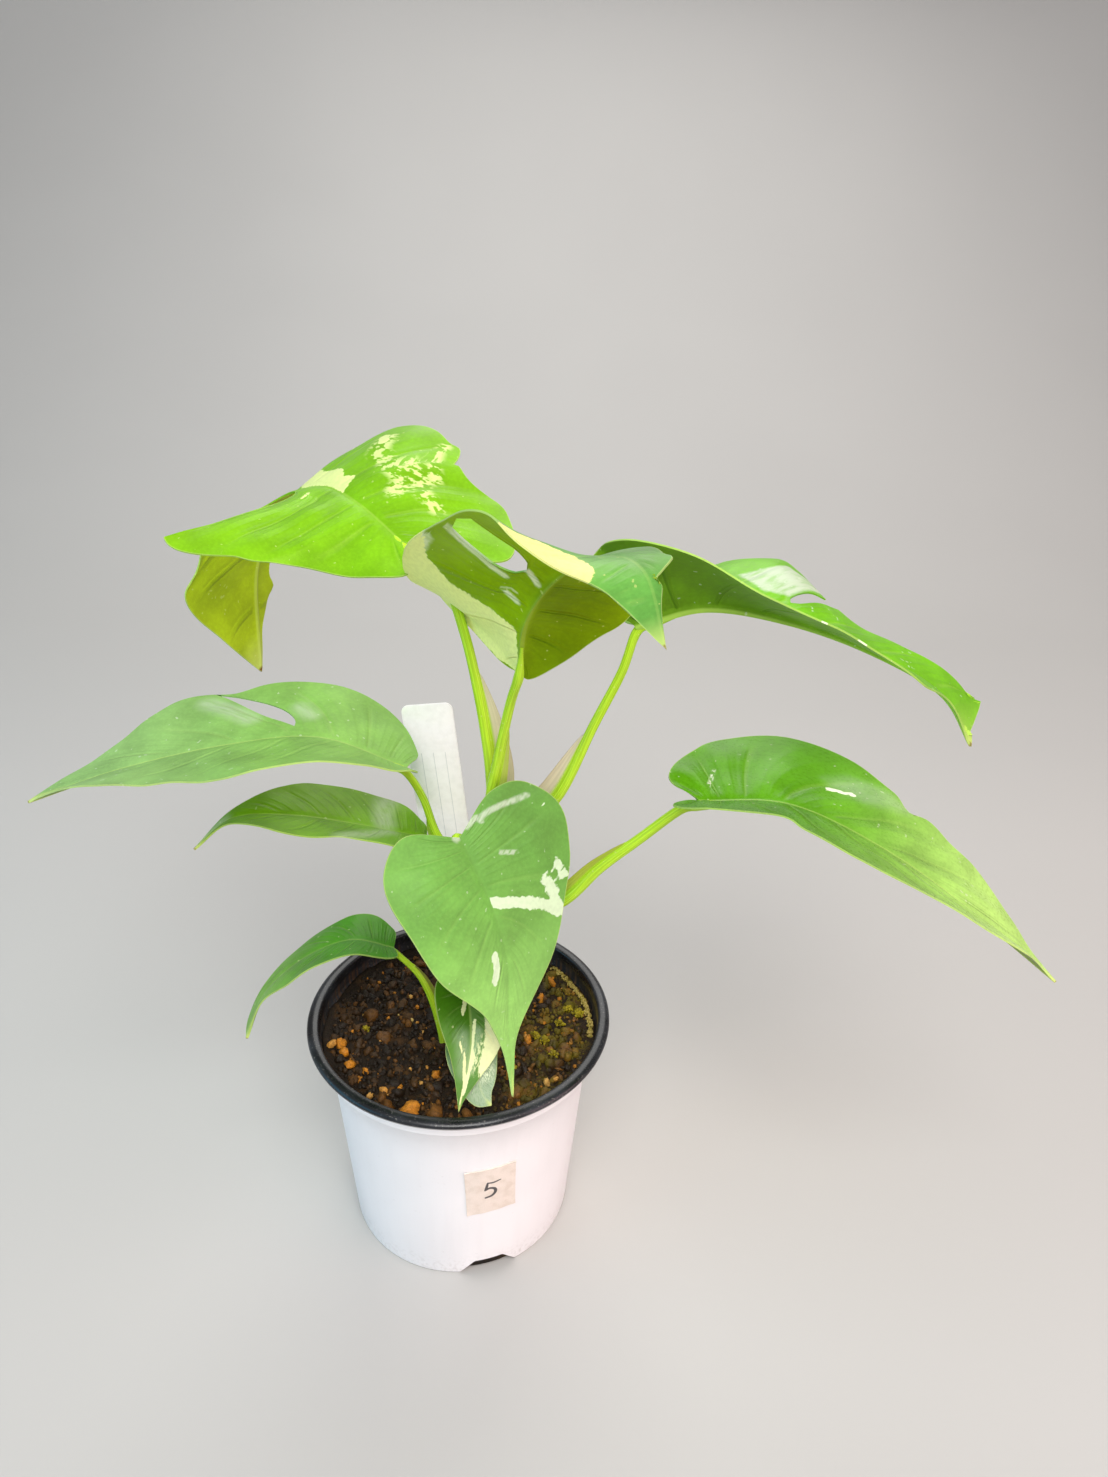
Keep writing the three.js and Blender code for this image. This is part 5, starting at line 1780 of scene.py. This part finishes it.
class MONSTERA_OT_label(Operator):
    """Cuts the plant label from a plastic sheet and leans it in the mix"""

    bl_idname = "monstera.label"
    bl_label = "Plant label"

    def execute(self, context):
        sizes = context.scene.monstera_label
        width, tall = sizes.label_width / MM, sizes.label_length / MM
        sheet = {"vertices": 5, "radius": 1, "fill_type": "NGON"}
        piece = added(bpy.ops.mesh.primitive_circle_add, "white_plant_label", **sheet)
        half = width / 2
        outline = [(0, 0), (half, LABEL_POINT), (half, tall), (-half, tall), (-half, LABEL_POINT)]
        move_corners(piece, np.array([(x, -LABEL_THICKNESS / 2, z) for x, z in outline]) * MM)
        self.round_corners(piece)
        modify(piece, "SOLIDIFY", thickness=LABEL_THICKNESS * MM, offset=-1)
        edit(piece, face_outwards)
        edge = LABEL_ROUNDING[1] * MM
        modify(piece, "BEVEL", width=edge, segments=2, limit_method="ANGLE", angle_limit=1.0)
        turn = Matrix.Rotation(math.radians(LABEL_LEAN), 3, "Y")
        flat = corner_places(piece)
        write_attribute(piece, "flat", flat / MM)
        places = np.array([turn @ Vector(place) for place in flat])
        move_corners(piece, places + np.array(LABEL_FOOT) * MM)
        repaint(piece, self.plastic(sizes))
        smooth(piece, 30)
        finish_piece(piece, "plant_label")
        return {"FINISHED"}

    @staticmethod
    def round_corners(piece):
        """Rounds the two upper corners of the flat label."""
        make_active(piece)
        bpy.ops.object.mode_set(mode="EDIT")
        select_only(piece, "VERT", lambda corner: corner.co.z > 0.1)
        bpy.ops.mesh.bevel(offset=LABEL_ROUNDING[0] * MM, segments=8, affect="VERTICES")
        bpy.ops.object.mode_set(mode="OBJECT")

    @staticmethod
    def plastic(sizes):
        skin = Finish("label_white_plastic")
        flat = skin.attribute("flat")
        across, up = flat.part(0), flat.part(2)
        wear = skin.noise(flat, 0.4, 3.0)
        fine = skin.noise(flat, 3.0, 2.0)
        white = tuple(sizes.plastic)
        gap, side, top = RULED
        ruled = (1 - ((across / gap + 0.5).fraction() - 0.5).size().step(0.012, 0.03))
        ruled = ruled * (1 - across.size().step(side, side + 0.2)) * (1 - up.step(top, top + 0.4))
        soiled = skin.layers(
            white,
            (wear.step(0.35, 0.7) * 0.5, scaled(white, 0.88)),
            (ruled * 0.5, linear(150, 156, 168)),
            ((1 - up.step(34.0, 52.0)) * wear.step(0.35, 0.6), linear(96, 74, 52)),
        )
        return skin.skin(soiled, 0.34 + fine * 0.14, skin.relief(fine + wear * 3.0, 0.05))


class MONSTERA_OT_sticker(Operator):
    """Lays the paper sticker round the wall of the pot and writes its number"""

    bl_idname = "monstera.sticker"
    bl_label = "Number sticker"

    def execute(self, context):
        sizes, pot = context.scene.monstera_label, context.scene.monstera_pot
        wide, tall = STICKER_SIZE
        columns, rows = 4 * wide, 4 * tall
        piece = new_grid("paper_number_sticker", columns, rows)
        column, row = grid_steps(piece, columns, rows)
        across = (column / columns - 0.5) * wide
        up = (row / rows - 0.5) * tall
        ink = np.full(len(across), 3.0)
        spots = np.stack([across, up], 1)
        for stroke, radius in NUMBER_STROKES:
            line = curve_points(stroke, np.linspace(0, 1, PEN_STEPS))
            for index, (start, end) in enumerate(zip(line, line[1:])):
                pressure = radius * (0.75 + 0.35 * math.sin(math.pi * index / (PEN_STEPS - 1)))
                ink = np.minimum(ink, distance_to_line(spots, start, end) - pressure)
        write_attribute(piece, "ink", ink)
        write_attribute(piece, "flat", np.stack([across, up, 0 * up], 1))
        turn = math.radians(STICKER_TURN)
        sideways = across * math.cos(turn) + up * math.sin(turn)
        height = STICKER_MIDDLE - across * math.sin(turn) + up * math.cos(turn)
        corner = np.abs(across / wide * 2) ** 6 * np.abs(up / tall * 2) ** 6
        wrinkle = 0.05 * np.sin(across * 1.1 + 0.4 * up) * np.sin(up * 0.7)
        radius = np.array([wall_radius(z, pot) for z in height]) + STICKER_LIFT
        radius = radius + 0.3 * corner + wrinkle
        angle = math.radians(STICKER_ANGLE) + sideways / wall_radius(STICKER_MIDDLE, pot)
        places = np.stack([radius * np.cos(angle), radius * np.sin(angle), height], 1)
        move_corners(piece, places * MM)
        edit(piece, face_outwards)
        if piece.data.polygons[0].normal.dot(Vector(places[0])) < 0:
            edit(piece, bpy.ops.mesh.flip_normals)
        modify(piece, "SOLIDIFY", thickness=STICKER_THICKNESS * MM, offset=-1)
        repaint(piece, self.paper(sizes))
        smooth(piece, 40)
        finish_piece(piece, "number_sticker")
        return {"FINISHED"}

    @staticmethod
    def paper(sizes):
        skin = Finish("beige_sticker_paper")
        flat = skin.attribute("flat")
        ink = skin.number("ink")
        fibre = skin.noise(skin.stretch(flat, (3.0, 9.0, 1.0)), 1.0, 4.0, 0.65)
        cloud = skin.noise(flat, 0.25, 2.0)
        paper = tuple(sizes.paper)
        bleed = (fibre - 0.5) * 0.12
        inked = 1 - (ink + bleed).step(-0.08, 0.1)
        base = skin.layers(
            skin.mix(fibre.step(0.3, 0.7), scaled(paper, 0.88), scaled(paper, 1.05)),
            (cloud.step(0.4, 0.7) * 0.35, linear(204, 186, 166)),
            (inked * (0.82 + fibre * 0.18), tuple(sizes.ink)),
        )
        normal = skin.relief(fibre + cloud, 0.06)
        return skin.skin(base, 0.66 - inked * 0.2 + fibre * 0.1, normal)


# ---------------------------------------------------------------- floor, lights and camera

CAMERA_PLACE = (30, -278, 329.5)
CAMERA_PITCH = 26.43
CAMERA_ROLL = -1.74
CAMERA_LENS = 24.96
FLOOR_CORNERS = [(-3, -1.6, 0), (3, -1.6, 0), (-3, 1.5, 0), (3, 1.5, 0)]  # in metres
BACKDROP = 2.2  # height of the floor's upturned back, in metres
SWEEP = 0.9  # how widely the floor turns up, in metres
AIR = (0.97, 0.98, 1.0)
AIR_STRENGTH = 0.44
LIGHT_AIM = (0, 0, 0.14)
# each light: place in millimetres, size in metres, which power, its share of that, colour
LIGHTS = {
    "key_softbox": ((120, -760, 1050), 0.75, "key", 1.0, (1.0, 0.985, 0.96)),
    "left_softbox": ((-1100, -350, 450), 0.9, "fill", 1.05, (0.06, 0.6, 1.0)),
    "right_softbox": ((1100, -450, 480), 0.9, "fill", 1.45, (1.0, 0.6, 0.6)),
    "back_softbox": ((60, 1000, 1150), 1.0, "fill", 2.2, (1.0, 0.99, 0.96)),
}


class MONSTERA_OT_stage(Operator):
    """Sets up the pale floor, the soft lights and the camera"""

    bl_idname = "monstera.stage"
    bl_label = "Stage"

    def execute(self, context):
        stage = context.scene.monstera_stage
        self.floor(stage)
        for name, (place, size, kind, share, tone) in LIGHTS.items():
            where = np.array(place) * MM
            lamp = added(bpy.ops.object.light_add, name, type="AREA", location=where)
            lamp.data.shape = "SQUARE"
            lamp.data.size = size
            lamp.data.energy = getattr(stage, kind) * share
            lamp.data.color = tone
            aim = Vector(LIGHT_AIM) - lamp.location
            lamp.rotation_euler = aim.to_track_quat("-Z", "Y").to_euler()
        world = bpy.data.worlds.new("studio_air")
        world.use_nodes = True
        air = world.node_tree.nodes["Background"].inputs
        air["Color"].default_value = (*AIR, 1)
        air["Strength"].default_value = AIR_STRENGTH
        context.scene.world = world
        context.scene.view_settings.view_transform = "Standard"
        self.camera(context)
        return {"FINISHED"}

    @staticmethod
    def floor(stage):
        """A floor whose back turns up in a round sweep."""
        piece = added(bpy.ops.mesh.primitive_plane_add, "pale_floor", size=1)
        move_corners(piece, np.array(FLOOR_CORNERS))
        make_active(piece)
        bpy.ops.object.mode_set(mode="EDIT")
        select_only(piece, "EDGE", lambda edge: all(corner.co.y > 1 for corner in edge.verts))
        move = {"value": (0, 0.001, BACKDROP)}
        bpy.ops.mesh.extrude_region_move(TRANSFORM_OT_translate=move)
        bpy.ops.object.mode_set(mode="OBJECT")
        modify(piece, "BEVEL", width=SWEEP, segments=24, limit_method="ANGLE")
        smooth(piece)
        skin = Finish("pale_floor_paint")
        place = skin.place()
        cloud = skin.noise(place, 3.0, 2.0)
        fine = skin.noise(place, 420.0, 3.0)
        pale = tuple(stage.floor)
        tone = skin.mix(cloud.step(0.3, 0.7), scaled(pale, 0.97), pale)
        normal = skin.relief(fine, 0.03)
        repaint(piece, skin.skin(tone, 0.6 + (fine - 0.5) * 0.1, normal))
        return piece

    @staticmethod
    def camera(context):
        """The camera, from its place, its pitch below level and its roll."""
        camera = added(bpy.ops.object.camera_add, "studio_camera")
        pitch, roll = math.radians(CAMERA_PITCH), math.radians(CAMERA_ROLL)
        right = np.array((1.0, 0, 0))
        ahead = np.array((0, math.cos(pitch), -math.sin(pitch)))
        down = np.cross(ahead, right)
        across = math.cos(roll) * right + math.sin(roll) * down
        below = -math.sin(roll) * right + math.cos(roll) * down
        axes = Matrix(np.stack([across, -below, -ahead], 1).tolist()).to_4x4()
        camera.matrix_world = Matrix.Translation(np.array(CAMERA_PLACE) * MM) @ axes
        camera.data.sensor_fit = "VERTICAL"
        camera.data.sensor_height = 36
        camera.data.lens = CAMERA_LENS
        camera.data.clip_start = 0.01
        camera.data.dof.use_dof = False
        context.scene.camera = camera


# ---------------------------------------------------------------- panel and main

OPERATORS = (
    MONSTERA_OT_pot,
    MONSTERA_OT_soil,
    MONSTERA_OT_label,
    MONSTERA_OT_sticker,
    MONSTERA_OT_stem,
    MONSTERA_OT_leaves,
    MONSTERA_OT_stage,
)


class MONSTERA_PT_sidebar(Panel):
    """Lists the sizes and colours, and a button for each piece"""

    bl_label = "Mini monstera"
    bl_idname = "MONSTERA_PT_sidebar"
    bl_space_type = "VIEW_3D"
    bl_region_type = "UI"
    bl_category = "Monstera"

    def draw(self, context):
        layout = self.layout
        for name, kind in SETTINGS.items():
            box = layout.box()
            box.label(text=kind.__doc__)
            for key in kind.__annotations__:
                box.prop(getattr(context.scene, name), key)
        for operator in OPERATORS:
            layout.operator(operator.bl_idname)


def register():
    for kind in (*SETTINGS.values(), *OPERATORS, MONSTERA_PT_sidebar):
        bpy.utils.register_class(kind)
    for name, kind in SETTINGS.items():
        setattr(bpy.types.Scene, name, PointerProperty(type=kind))


def unregister():
    for name in SETTINGS:
        delattr(bpy.types.Scene, name)
    for kind in (MONSTERA_PT_sidebar, *reversed(OPERATORS), *reversed(list(SETTINGS.values()))):
        bpy.utils.unregister_class(kind)


def main():
    register()
    bpy.ops.monstera.pot()
    bpy.ops.monstera.soil()
    bpy.ops.monstera.label()
    bpy.ops.monstera.sticker()
    bpy.ops.monstera.stem()
    bpy.ops.monstera.leaves()
    bpy.ops.monstera.stage()
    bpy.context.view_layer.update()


if __name__ == "__main__":
    main()
